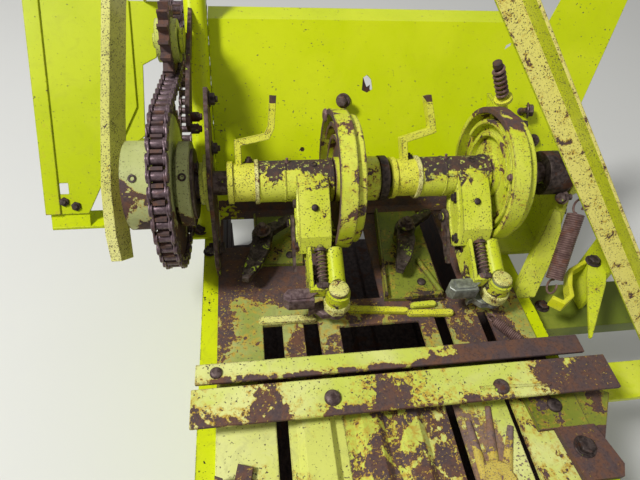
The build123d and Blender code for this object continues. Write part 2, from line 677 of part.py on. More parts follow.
def twine_disc(x):
    """Two notched discs on one hub, turning on a stub of the casting's cheek."""
    low, high = x + TWINE_X[0], x + TWINE_X[1]
    y, z = TWINE_DISC_AT
    discs = disc(low, high, 9, y, z)
    for start in (low, high - 3):
        discs += disc(start, start + 3, TWINE_DISC_R, y, z)
    for angle in (45, 135, 225, 315):
        way = math.radians(angle)
        corners = [(11, 0), (TWINE_DISC_R + 2, -4), (TWINE_DISC_R + 2, 4)]
        notch = [(y + a * math.cos(way) - b * math.sin(way), z + a * math.sin(way) + b * math.cos(way))
                 for a, b in corners]
        discs -= prism("x", notch, low - 1, high + 1)
    return discs - disc(low - 1, high + 1, PIN_R + RUN_FIT, y, z)


def lift_lever(x, shape):
    """Collar against the sleeve with a bent flat lever standing up from it."""
    right = x + SLEEVE_END - SLEEVE_LEN
    collar = disc(right - COLLAR_W, right, COLLAR_R) + disc(right - COLLAR_W, right - COLLAR_W + 8, COLLAR_R + 3)
    line = [(x + a, b) for a, b in shape]
    bar = prism("y", strip(line, LEVER_T), -9, 9)
    collar += Rot(-LEVER_TURN, 0, 0) * bar
    return collar - disc(right - COLLAR_W - 1, right + 1, RUN_R)


def tucker_bracket(x, corners):
    """Deck plate with an upturned left edge that carries the tucker finger's pin."""
    plate = prism("z", corners, DECK_TOP, DECK_TOP + 6)
    (ax, ay), (bx, by) = corners[0], corners[3]
    plate += prism("z", [(ax, ay), (ax + 4, ay), (bx + 4, by), (bx, by)], DECK_TOP, DECK_TOP + 16)
    at = (x + TUCKER_X, TUCKER_Y)
    top = DECK_TOP + TUCKER_LOW + TUCKER_T
    plate += rod((*at, DECK_TOP + 6), (*at, DECK_TOP + TUCKER_LOW - FACE_GAP), 16)
    plate += rod((*at, DECK_TOP + 6), (*at, top + 6), TUCKER_PIN_R)
    return plate


def twine_guide():
    """Bent rod and lip at the right tucker bracket's rear edge."""
    low = DECK_TOP + 6
    guide = rod((88, -56, low + 4), (110, -126, low + 4), 4)
    return guide + block((60, 108), (-132, -124), (DECK_TOP, low + 9))


def tucker_finger(x):
    """Two-armed curved finger on its pin."""
    low = DECK_TOP + TUCKER_LOW
    outline = [(-2, 16), (20, 26), (44, 42), (54, 40), (54, 30), (34, 16), (14, 0), (10, -30), (-4, -62),
               (-24, -90), (-34, -86), (-32, -70), (-22, -36), (-16, -8)]
    finger = prism("z", outline, low, low + TUCKER_T) + rod((0, 0, low), (0, 0, low + TUCKER_T), 17)
    finger -= rod((0, 0, low - 1), (0, 0, low + TUCKER_T + 1), TUCKER_PIN_R + RUN_FIT)
    return Pos(x + TUCKER_X, TUCKER_Y, 0) * finger


# Shaft supports

def bearing_plate():
    """Thin upright plate that carries the shaft's left bearing, tied to the post."""
    outline = [(-60, DECK_TOP), (-8, DECK_TOP), (40, -30), (44, 10), (92, 96), (70, 112), (44, 96), (-20, 40),
               (-44, 10), (-44, -20), (-70, -100)]
    plate = prism("x", outline, LEFT_PLATE_X, LEFT_PLATE_X + PLATE_STEEL)
    return plate - disc(LEFT_PLATE_X - 1, LEFT_PLATE_X + PLATE_STEEL + 1, RUN_R)


def flange_bearing(x0, x1, lug):
    """Round bearing housing with two bolt lugs."""
    body = disc(x0, x1, 30)
    flange = [(-18, 38), (18, 38), (30, 18), (30, -18), (18, -38), (-18, -38), (-30, -18), (-30, 18)]
    body += prism("x", flange, lug[0], lug[1])
    return body - disc(min(x0, lug[0]) - 1, max(x1, lug[1]) + 1, RUN_R)


def right_bracket():
    """Bent bracket from the right wall's flange up to the right bearing."""
    face = RIGHT_PLATE_X + RIGHT_PLATE_T
    outline = strip([(OUTER, DECK_UNDER), (face, DECK_UNDER), (face, 46)], RIGHT_PLATE_T)
    bracket = prism("y", outline, -45, 45)
    trim = prism("x", [(-46, -80), (-46, 60), (46, 60), (46, -80), (30, -30), (30, 20), (18, 38), (-18, 38),
                       (-30, 20), (-30, -30)], RIGHT_PLATE_X - 2, face + 2)
    return bracket - trim - disc(RIGHT_PLATE_X - 2, face + 2, RUN_R)


# Right-hand side

def channel_strut():
    """Channel from the deck's right edge up to the right bearing bracket."""
    start, end = Vector(246, -134, DECK_UNDER - 8), Vector(322, -34, -60)
    run = end - start
    bar = Box(34, 14, run.length, align=(Align.CENTER, Align.CENTER, Align.MIN))
    bar -= Pos(0, 4, -1) * Box(24, 14, run.length + 2, align=(Align.CENTER, Align.CENTER, Align.MIN))
    bar = Plane(origin=start, x_dir=(1, 0, 0), z_dir=run) * bar
    bar -= block((0, 500), (-300, 100), (DECK_UNDER - 100, DECK_UNDER))
    bar -= block((0, OUTER), (-300, 100), (DECK_UNDER - 100, DECK_TOP + 100))
    return bar - block((RIGHT_PLATE_X, 500), (-300, 100), (-300, 100))


def side_beam():
    """Channel beam that stands out from the right wall under the levers."""
    drop = BEAM_TOP - 5
    line = [(-168, drop - 22), (-168, drop), (-92, drop), (-92, drop - 22)]
    return prism("x", strip(line, 5), OUTER, BEAM_END)


def outrigger_bar():
    """Flat bar from the right wall to the brace's foot."""
    return block((OUTER, BEAM_END), (-290, -230), (BRACE_FOOT - 10, BRACE_FOOT))


def diagonal_brace():
    """Angle iron that leans in over the right end of the shaft."""
    foot, top = Vector(487, -270, -215), Vector(92, 43, 330)
    run = top - foot
    angle = Box(BRACE_LEG, 5, run.length, align=(Align.MIN, Align.MIN, Align.MIN))
    angle += Box(5, BRACE_LEG, run.length, align=(Align.MIN, Align.MIN, Align.MIN))
    iron = Plane(origin=foot, x_dir=(-0.846, -0.244, -0.474), z_dir=run) * angle
    return iron - block((300, 700), (-400, 0), (-400, BRACE_FOOT))


def lever_post():
    """Upright flat bar on the side beam that carries the hook lever and the blade."""
    return block(LEVER_POST_X, (-140, -84), (BEAM_TOP, -55))


def hook_lever():
    """Bent flat lever with a hooked end for the return spring."""
    line = [(LEVER_POST_X[0], -92), (322, -110), (306, -140), (300, -158), (284, -168), (272, -158)]
    return prism("z", strip(line, 7), -128, -108) - lever_post()


def return_spring():
    """Close-wound coil spring from the bearing bracket to the hook lever."""
    top, low = Vector(320, -62, -28), Vector(286, -130, -106)
    spring = rod(tuple(low), tuple(top), 13)
    spring += rod(tuple(top), (322, -45, -16), 3) + rod(tuple(low), (293, -161, -118), 3)
    return spring - hook_lever() - right_bracket()


def corner_bracket():
    """Bolted bracket on the deck's right rear corner, with a flared wing and a second plate behind it."""
    low, edge = DECK_TOP, OUTER + 11
    bracket = prism("z", [(176, -345), (edge, -345), (edge, -276), (170, -276)], low, low + 6)
    corners = [(edge - 1, -276), (edge - 1, -350), (262, -362), (308, -300)]
    droop = Polyline(*[(x, y, low - 0.2 * (x - edge + 1)) for x, y in corners], close=True)
    flare = extrude(make_face(droop), amount=4, dir=(0, 0, 1))
    plate = prism("z", [(206, -410), (256, -410), (264, -396), (250, -345), (198, -345)], low, low + 10)
    return bracket + flare + plate


def blade_strut():
    """Tapered blade that reaches back and down from the lever post."""
    outline = [(0, -14), (40, -14), (150, -2), (150, 2), (40, 14), (0, 14)]
    start, end = Vector(358, -118, -92), Vector(280, -240, -128)
    run = (end - start).normalized()
    blade = extrude(make_face(Polyline(*[(a, b, 0) for a, b in outline], close=True)), amount=6)
    return Plane(origin=start, x_dir=run, z_dir=(0, 0, 1)) * blade - lever_post()


def latch_spring():
    """Small close-wound spring lying beside the slots."""
    return rod((178, -182, -131.7), (202, -218, -131.7), 8)


def brake_rod():
    """Spring-loaded rod behind the right cam wheel, on a bracket of the hood."""
    low, high = Vector(272, 128, 0), Vector(204, 118, 124)
    way = (high - low).normalized()
    flange = low + way * 62
    piece = rod(tuple(low), tuple(high), 5) + disc(266, 278, 12, 128, 0)
    piece += rod(tuple(flange), tuple(flange + way * 6), 15)
    piece += rod(tuple(flange + way * 8), tuple(high - way * 14), 11)
    return piece


def brake_bracket():
    """Flat bracket from the hood to the brake rod's eye."""
    faces = [leaning(HOOD_BASE_Y, along, HOOD_T) for along in (150, 200)]
    return prism("x", [(116, -8), faces[0], faces[1], (116, 12)], 258, 266) - brake_rod()


def build():
    os.makedirs("parts", exist_ok=True)
    save("chamber_left_wall", side_wall(-1))
    save("chamber_right_wall", side_wall(1))
    save("chamber_floor", floor_pan())
    save("deck_front_plate", front_deck())
    save("deck_rear_tie", rear_tie())
    for name, line in REAR_SLATS:
        slat = rear_slat(line)
        if name == "fan":
            slat = fan_ribs(slat)
        save(f"deck_slat_{name}", slat)
    save("cross_angle_front", cross_angle(-258, 268, -231, 27))
    save("cross_angle_rear", cross_angle(-262, 292, -264, 48))
    save("hood_panel", hood_panel())
    save("post_tube", post_tube())
    save("left_guard_panel", left_guard())
    save("guard_bar_rear", guard_bar_rear())
    save("guard_bar_front", guard_bar_front())
    save("arch_guard", arch_guard())
    save("inner_guard_plate", inner_guard())

    driver_y, pins = fit_chain()
    print("driver at", round(driver_y, 2), "links", len(pins))
    save("drive_chain", chain(pins))
    save("knotter_sprocket", big_sprocket(pins))
    save("idler_sprocket", idler(pins))
    save("idler_arm", idler_arm())
    save("driver_sprocket", driver(pins, driver_y))
    save("driver_plate", driver_plate(driver_y))
    save("clutch_latch", clutch_latch())

    save("knotter_shaft", shaft())
    for side, x in KNOTTERS:
        save(f"cam_wheel_{side}", cam_wheel(x))
        save(f"knotter_frame_{side}", knotter_frame(x))
        save(f"bill_hook_{side}", bill_hook(x))
        save(f"knife_arm_{side}", knife_arm(x))
        save(f"twine_disc_{side}", twine_disc(x))
        save(f"lift_lever_{side}", lift_lever(x, LEVERS[side]))
        bracket = tucker_bracket(x, TUCKER_PLATES[side])
        if side == "right":
            bracket += twine_guide()
        save(f"tucker_bracket_{side}", bracket)
        save(f"tucker_finger_{side}", tucker_finger(x))

    save("left_bearing_plate", bearing_plate())
    left, right = LEFT_PLATE_X, RIGHT_PLATE_X + RIGHT_PLATE_T
    save("left_bearing", flange_bearing(left - BEARING_W, left, (left - 6, left)))
    save("right_bearing_bracket", right_bracket())
    save("right_bearing", flange_bearing(right, right + BEARING_W, (right, right + 6)))
    save("channel_strut", channel_strut())
    save("side_beam", side_beam())
    save("outrigger_bar", outrigger_bar())
    save("diagonal_brace", diagonal_brace())
    save("lever_post", lever_post())
    save("hook_lever", hook_lever())
    save("return_spring", return_spring())
    save("blade_strut", blade_strut())
    save("latch_spring", latch_spring())
    save("deck_corner_bracket", corner_bracket())
    save("brake_rod", brake_rod())
    save("brake_bracket", brake_bracket())


build()
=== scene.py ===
"""Looks of a twin knotter unit that stands on a section of a baler's bale chamber."""

import json
import logging
import math
from dataclasses import dataclass, field
from enum import Enum
from typing import Any, Iterable, Optional, Sequence, Union

import bmesh
import bpy
import numpy as np
from mathutils import Matrix, Vector


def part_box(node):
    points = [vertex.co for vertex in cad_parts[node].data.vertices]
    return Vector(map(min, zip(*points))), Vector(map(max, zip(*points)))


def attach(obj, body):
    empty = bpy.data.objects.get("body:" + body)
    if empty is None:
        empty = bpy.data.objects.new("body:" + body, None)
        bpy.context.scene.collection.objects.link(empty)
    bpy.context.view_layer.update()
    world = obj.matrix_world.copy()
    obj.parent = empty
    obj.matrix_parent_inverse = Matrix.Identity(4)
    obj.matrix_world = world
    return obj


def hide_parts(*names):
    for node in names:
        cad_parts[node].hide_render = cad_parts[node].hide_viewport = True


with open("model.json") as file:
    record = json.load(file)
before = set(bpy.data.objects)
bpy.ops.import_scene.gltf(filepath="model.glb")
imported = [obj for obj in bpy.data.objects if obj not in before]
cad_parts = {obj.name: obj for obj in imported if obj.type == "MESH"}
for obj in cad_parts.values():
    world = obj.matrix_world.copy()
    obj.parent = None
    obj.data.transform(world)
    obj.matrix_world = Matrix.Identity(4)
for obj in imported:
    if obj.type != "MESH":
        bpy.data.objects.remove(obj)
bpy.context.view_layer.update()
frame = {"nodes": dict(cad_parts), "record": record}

MM = 0.001
LOG = logging.getLogger("knotter_unit")
SHAFT_Z = (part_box("cam_wheel_left")[0][2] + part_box("cam_wheel_left")[1][2]) / 2

Colour = tuple[float, float, float]
Point = tuple[float, float, float]
Profile = tuple[tuple[float, float], ...]

RIGHT, LEFT = (1.0, 0.0, 0.0), (-1.0, 0.0, 0.0)
FRONT, REAR = (0.0, 1.0, 0.0), (0.0, -1.0, 0.0)
UP, DOWN = (0.0, 0.0, 1.0), (0.0, 0.0, -1.0)
HOOD_RISE, HOOD_OUT = (0.0, 0.643, 0.766), (0.0, -0.766, 0.643)
BRACE_LEFT = (-0.02, -0.87, 0.49)


def srgb(red: int, green: int, blue: int) -> Colour:
    """Turn a colour of 0 to 255 a channel into linear values.

    Args:
        red: Red channel.
        green: Green channel.
        blue: Blue channel.

    Returns:
        The three linear channels, by the piecewise power curve of the sRGB standard.
    """
    share = np.array([red, green, blue]) / 255.0
    linear = np.where(share <= 0.04045, share / 12.92, ((share + 0.055) / 1.055) ** 2.4)
    return tuple(float(v) for v in linear)


# Shader graphs

SHEEN = 0.18


class Value:
    """A shader socket that Python operators can work with."""

    def __init__(self, graph: "Graph", socket: bpy.types.NodeSocket) -> None:
        """Keep the graph and the output socket."""
        self.graph = graph
        self.socket = socket

    def _math(self, operation: str, first: Any, second: Any) -> "Value":
        """Add a Math node for two operands and return its result."""
        return self.graph.node("Math", {"operation": operation}, {"Value": first, "Value_001": second})

    def __add__(self, other: Any) -> "Value":
        """Sum."""
        return self._math("ADD", self, other)

    def __radd__(self, other: Any) -> "Value":
        """Sum with the number first."""
        return self._math("ADD", other, self)

    def __sub__(self, other: Any) -> "Value":
        """Difference."""
        return self._math("SUBTRACT", self, other)

    def __rsub__(self, other: Any) -> "Value":
        """Difference with the number first."""
        return self._math("SUBTRACT", other, self)

    def __mul__(self, other: Any) -> "Value":
        """Product."""
        return self._math("MULTIPLY", self, other)

    def __rmul__(self, other: Any) -> "Value":
        """Product with the number first."""
        return self._math("MULTIPLY", other, self)


class Graph:
    """The node tree of one material."""

    def __init__(self, name: str) -> None:
        """Start an empty material of that name.

        Args:
            name: Name of the material.
        """
        self.material = bpy.data.materials.new(name)
        self.material.use_nodes = True
        self.tree = self.material.node_tree
        self.tree.nodes.clear()

    def node(self, kind: str, settings: Optional[dict] = None, inputs: Optional[dict] = None,
             out: str = "") -> Value:
        """Add a node.

        Args:
            kind: Type name without its ShaderNode prefix.
            settings: Properties set before anything else; "stops" fills a colour ramp.
            inputs: Values or links by socket name or identifier.
            out: Name of the wanted output; the first enabled one if left empty.

        Returns:
            The output, wrapped.
        """
        made = self.tree.nodes.new("ShaderNode" + kind)
        for key, value in (settings or {}).items():
            if key == "stops":
                ramp = made.color_ramp.elements
                while len(ramp) < len(value):
                    ramp.new(0.5)
                for element, (place, colour) in zip(ramp, value):
                    element.position = place
                    element.color = (*colour, 1.0)
            else:
                setattr(made, key, value)
        for key, value in (inputs or {}).items():
            target = next(s for s in made.inputs if s.enabled and key in (s.identifier, s.name))
            if isinstance(value, Value):
                self.tree.links.new(value.socket, target)
            elif target.type == "RGBA":
                target.default_value = (*value, 1.0)
            else:
                target.default_value = value
        found = [s for s in made.outputs if s.enabled and (not out or out in (s.identifier, s.name))]
        return Value(self, found[0]) if found else Value(self, made.outputs[0] if made.outputs else None)

    def place(self) -> Value:
        """Object coordinates, in metres."""
        return self.node("TexCoord", {}, {}, "Object")

    def noise(self, scale: float, detail: float = 4.0, rough: float = 0.55, twist: float = 0.0,
              where: Optional[Value] = None) -> Value:
        """Fractal noise from 0 to 1.

        Args:
            scale: Waves per metre.
            detail: Octaves.
            rough: Strength kept by each octave.
            twist: Distortion.
            where: Coordinates; the object's own if left out.

        Returns:
            The noise value.
        """
        where = where or self.place()
        inputs = {"Vector": where, "Scale": scale, "Detail": detail, "Roughness": rough, "Distortion": twist}
        return self.node("TexNoise", {}, inputs)

    def step(self, value: Value, low: float, high: float) -> Value:
        """Smooth step of a value from 0 at low to 1 at high."""
        settings = {"interpolation_type": "SMOOTHSTEP", "clamp": True}
        return self.node("MapRange", settings, {"Value": value, "From Min": low, "From Max": high})

    def mix(self, share: Any, first: Any, second: Any) -> Value:
        """Colour that goes from the first to the second as share goes from 0 to 1."""
        return self.node("Mix", {"data_type": "RGBA"}, {"Factor": share, "A": first, "B": second})

    def edges(self, reach: float) -> Value:
        """Mask that is 1 on sharp edges: how far a rounded normal turns from the true one."""
        soft = self.node("Bevel", {"samples": 4}, {"Radius": reach})
        return self.step(1 - self.vector("DOT_PRODUCT", soft, self.normal(), "Value"), 0.01, 0.22)

    def vector(self, operation: str, first: Any, second: Any, out: str = "") -> Value:
        """Add a Vector Math node for two operands and return its vector, or the output named."""
        return self.node("VectorMath", {"operation": operation}, {"Vector": first, "Vector_001": second}, out)

    def normal(self) -> Value:
        """The surface's true normal."""
        return self.node("NewGeometry", {}, {}, "Normal")

    def along(self, way: Point) -> Value:
        """Distance along a direction, in metres."""
        return self.vector("DOT_PRODUCT", self.place(), way, "Value")

    def radius(self, centre: Point) -> Value:
        """Distance from an axle along X through a point, in metres."""
        flat = self.vector("MULTIPLY", self.vector("SUBTRACT", self.place(), centre), (0.0, 1.0, 1.0))
        return self.node("VectorMath", {"operation": "LENGTH"}, {"Vector": flat}, "Value")

    def facing(self, way: Point) -> Value:
        """How far the surface faces a direction: the cosine of the angle between them."""
        return self.vector("DOT_PRODUCT", self.normal(), way, "Value")

    def finish(self, colour: Value, rough: Any, height: Value, bump_m: float,
               metal: Any = 0.0) -> bpy.types.Material:
        """Close the tree with a Principled shader.

        Args:
            colour: Base colour.
            rough: Roughness.
            height: Relief from 0 to 1.
            bump_m: Depth of the full relief, in metres.
            metal: Metallic value.

        Returns:
            The material.
        """
        bump = self.node("Bump", {}, {"Strength": 1.0, "Distance": bump_m, "Height": height})
        shader = self.node("BsdfPrincipled", {}, {
            "Base Color": colour, "Roughness": rough, "Metallic": metal, "Normal": bump,
            "Specular IOR Level": SHEEN})
        self.node("OutputMaterial", {}, {"Surface": shader})
        return self.material


# Finishes


class Tone(Enum):
    """Shades of the lime paint, as fresh and faded colours."""

    BRIGHT = (srgb(190, 204, 2), srgb(200, 211, 22))
    MIDDLE = (srgb(192, 202, 36), srgb(212, 216, 84))
    PALE = (srgb(192, 202, 84), srgb(214, 216, 138))
    DEEP = (srgb(178, 192, 4), srgb(188, 200, 26))
    CHALK = (srgb(204, 208, 104), srgb(218, 220, 146))
    DULL = (srgb(166, 172, 106), srgb(186, 190, 130))
    # Olive: the lime paint darkened as painted shade, for parts that lie in shade
    OLIVE_SHADE = (srgb(96, 108, 34), srgb(132, 140, 52))
    CREAM = (srgb(206, 204, 108), srgb(222, 218, 146))
    OCHRE = (srgb(176, 150, 52), srgb(198, 178, 86))
    LEMON = (srgb(208, 208, 34), srgb(220, 218, 84))
    SAGE = (srgb(142, 152, 72), srgb(170, 176, 110))


@dataclass(frozen=True)
class Zone:
    """Stretch of a surface that is more or less worn than the rest; some zones also paint shade.

    The added wear goes from 0 to the gain as the distance along the way goes from start to end. With
    facing set, the way is compared with the surface's normal instead of its place, and with hub set the
    way is a point on an axle along X, and the distance is the radius from it.
    """

    way: Point
    start: float
    end: float
    gain: float
    facing: bool = False
    hub: bool = False


@dataclass(frozen=True)
class LimePaint:
    """Lime paint that flakes off brown steel.

    Attributes:
        name: Name of the material.
        tone: Shade of the paint.
        bare: Share of bare steel, about.
        patch: Size of the flaked patches, as waves per metre.
        speck: Size of the finest noise, as waves per metre.
        specks: Amount of small specks in the paint.
        edge: Wear on sharp edges.
        reach: Width of that wear, in metres.
        grime: Strength of the dirt on the paint.
        ochre: Strength of the stain beside the flakes.
        zones: Stretches that are more worn; some also paint shade.
        steel: Colour of the bare steel.
        rust: Colour of its rust.
        rim: Colour of the stain.
        fade: Stretches whose paint is bleached.
        flecks: Paint left on the bare steel.
        fleck: Colour of those flecks.
        bleached: Colour of bleached paint.
        soil: Colour of the dirt.
        pit: Colour of small pits in the steel.
        level: Wear at which half of the surface is bare.
        span: How far the share of bare steel moves that level.
    """

    name: str
    tone: Tone
    bare: float = 0.35
    patch: float = 14.0
    speck: float = 170.0
    specks: float = 0.3
    edge: float = 0.5
    reach: float = 0.003
    grime: float = 0.35
    ochre: float = 0.5
    zones: tuple[Zone, ...] = ()
    steel: Colour = srgb(84, 69, 68)
    rust: Colour = srgb(106, 74, 58)
    rim: Colour = srgb(186, 152, 58)
    fade: tuple[Zone, ...] = ()
    flecks: float = 0.0
    fleck: Colour = srgb(186, 152, 58)
    bleached: Colour = srgb(222, 212, 116)
    soil: Colour = srgb(112, 108, 38)
    pit: Colour = srgb(52, 42, 44)
    level: float = 0.59
    span: float = 0.46

    def zone(self, g: Graph, zone: Zone) -> Value:
        """Share of a zone's gain at each place."""
        source = g.facing(zone.way) if zone.facing else g.radius(zone.way) if zone.hub else g.along(zone.way)
        return g.step(source, zone.start, zone.end) * zone.gain

    def wear_and_shade(self, g: Graph, where: Value, fine: Value) -> tuple[Value, Value]:
        """Wear from 0 to 1, with the painted shade of some zones: a broad noise with widened contrast, two finer
        ones, edges and zones.

        Args:
            g: Graph to add to.
            where: Coordinates.
            fine: The finest of the noises.

        Returns:
            The wear with that painted shade, and the broad noise alone.
        """
        broad = g.noise(self.patch, 5.0, 0.60, 0.5, where)
        middle = g.noise(self.patch * 4.5, 7.0, 0.68, 0.6, where)
        wear_and_shade = broad * 0.86 - 0.18 + middle * 0.32 + fine * 0.18
        if self.edge:
            ragged = g.step(middle + fine * 0.4, 0.48, 0.82)
            wear_and_shade = wear_and_shade + g.edges(self.reach) * ragged * (self.edge * 0.62)
        for zone in self.zones:
            wear_and_shade = wear_and_shade + self.zone(g, zone)
        return wear_and_shade, broad

    def build(self) -> bpy.types.Material:
        """Make the material.

        Paint holds where the wear stays under a level, an ochre stain lies just below the level, and
        bare steel above it; where a zone paints shade, that dark steel stands for shade. Small specks of steel
        break the paint, and flecks of paint the steel.

        Returns:
            The material.
        """
        g = Graph(self.name)
        where = g.place()
        fine = g.noise(self.speck, 6.0, 0.66, 0.2, where)
        wear_and_shade, broad = self.wear_and_shade(g, where, fine)
        level = self.level + (0.5 - self.bare) * self.span
        bare = g.step(wear_and_shade, level, level + 0.010)
        rim = g.step(wear_and_shade, level - 0.016, level)
        stain = g.step(wear_and_shade, level - 0.11, level) * g.step(fine, 0.40, 0.62) * self.ochre

        fresh, faded = self.tone.value
        cloud = g.noise(6.0, 4.0, 0.55, 0.6, where)
        dirt = g.noise(52.0, 8.0, 0.70, 0.8, where)
        paint = g.mix(g.step(cloud + dirt * 0.3, 0.52, 0.80), fresh, faded)
        for zone in self.fade:
            paint = g.mix(self.zone(g, zone), paint, self.bleached)
        soiled = g.step(dirt, 0.46, 0.76) * self.grime
        paint = g.mix(soiled, paint, self.soil)
        paint = g.mix(stain, paint, self.rim)
        dots = g.noise(self.speck * 2.4, 3.0, 0.6, 0.0, where)
        dots = g.step(dots + broad * 0.25, 0.83 - 0.12 * self.specks, 0.85 - 0.12 * self.specks)

        tint = g.noise(46.0, 7.0, 0.72, 0.5, where)
        steel = g.mix(g.step(tint, 0.40, 0.64), self.steel, self.rust)
        pits = g.step(g.noise(300.0, 4.0, 0.7, 0.0, where), 0.46, 0.70)
        steel = g.mix(pits * 0.55, steel, self.pit)
        fleck = g.noise(self.speck * (0.8 if self.flecks else 1.9), 5.0, 0.68, 0.0, where)
        fleck = g.step(fleck - wear_and_shade * (0.55 - self.flecks), 0.285, 0.30)
        fleck = fleck * min(self.ochre + 2 * self.flecks, 1.0)
        steel = g.mix(fleck, steel, self.fleck)
        colour = g.mix(rim * 0.8, g.mix(dots * (1 - rim), paint, self.steel), self.rim)
        colour = g.mix(bare, colour, steel)
        grit = g.noise(620.0, 4.0, 0.6, 0.0, where)
        height = (1 - bare) * (1 - dots * 0.7) * 0.6 + grit * 0.14 + dirt * 0.16
        rough = 0.38 + bare * 0.34 + soiled * 0.3
        return g.finish(colour, rough, height, 0.0007)


@dataclass(frozen=True)
class OldSteel:
    """Bare steel browned by rust and grease.

    Attributes:
        name: Name of the material.
        dark: Darker shade of the steel.
        light: Lighter shade of the steel.
        rust: Colour of the rust.
        rusted: Share of rust, about.
        metal: Metallic value.
        rough: Roughness of the clean steel.
        paint: Share of lime paint left on it.
        grain: Size of the shades, as waves per metre.
        traces: Colour of that paint.
    """

    name: str
    dark: Colour
    light: Colour
    rust: Colour
    rusted: float = 0.4
    metal: float = 0.35
    rough: float = 0.52
    paint: float = 0.0
    grain: float = 120.0
    traces: Colour = srgb(170, 190, 60)

    def build(self) -> bpy.types.Material:
        """Make the material: two steel shades in fine noise, rust in patches and traces of lime paint.

        Returns:
            The material.
        """
        g = Graph(self.name)
        where = g.place()
        tint = g.noise(self.grain, 6.0, 0.66, 0.3, where)
        patch = g.noise(38.0, 6.0, 0.64, 0.6, where)
        steel = g.mix(g.step(tint, 0.36, 0.66), self.dark, self.light)
        rusty = g.step(patch, 0.72 - 0.4 * self.rusted, 0.82 - 0.4 * self.rusted)
        colour = g.mix(rusty * 0.8, steel, self.rust)
        worn = g.edges(0.0025)
        colour = g.mix(worn * 0.35, colour, self.light)
        if self.paint:
            spots = g.noise(75.0, 7.0, 0.7, 0.4, where)
            kept = g.step(spots, 0.72 - 0.30 * self.paint, 0.735 - 0.30 * self.paint)
            colour = g.mix(kept, colour, self.traces)
        grit = g.noise(900.0, 3.0, 0.6, 0.0, where)
        height = tint * 0.5 + grit * 0.3 + rusty * 0.2
        return g.finish(colour, self.rough + rusty * 0.28, height, 0.0005, self.metal)


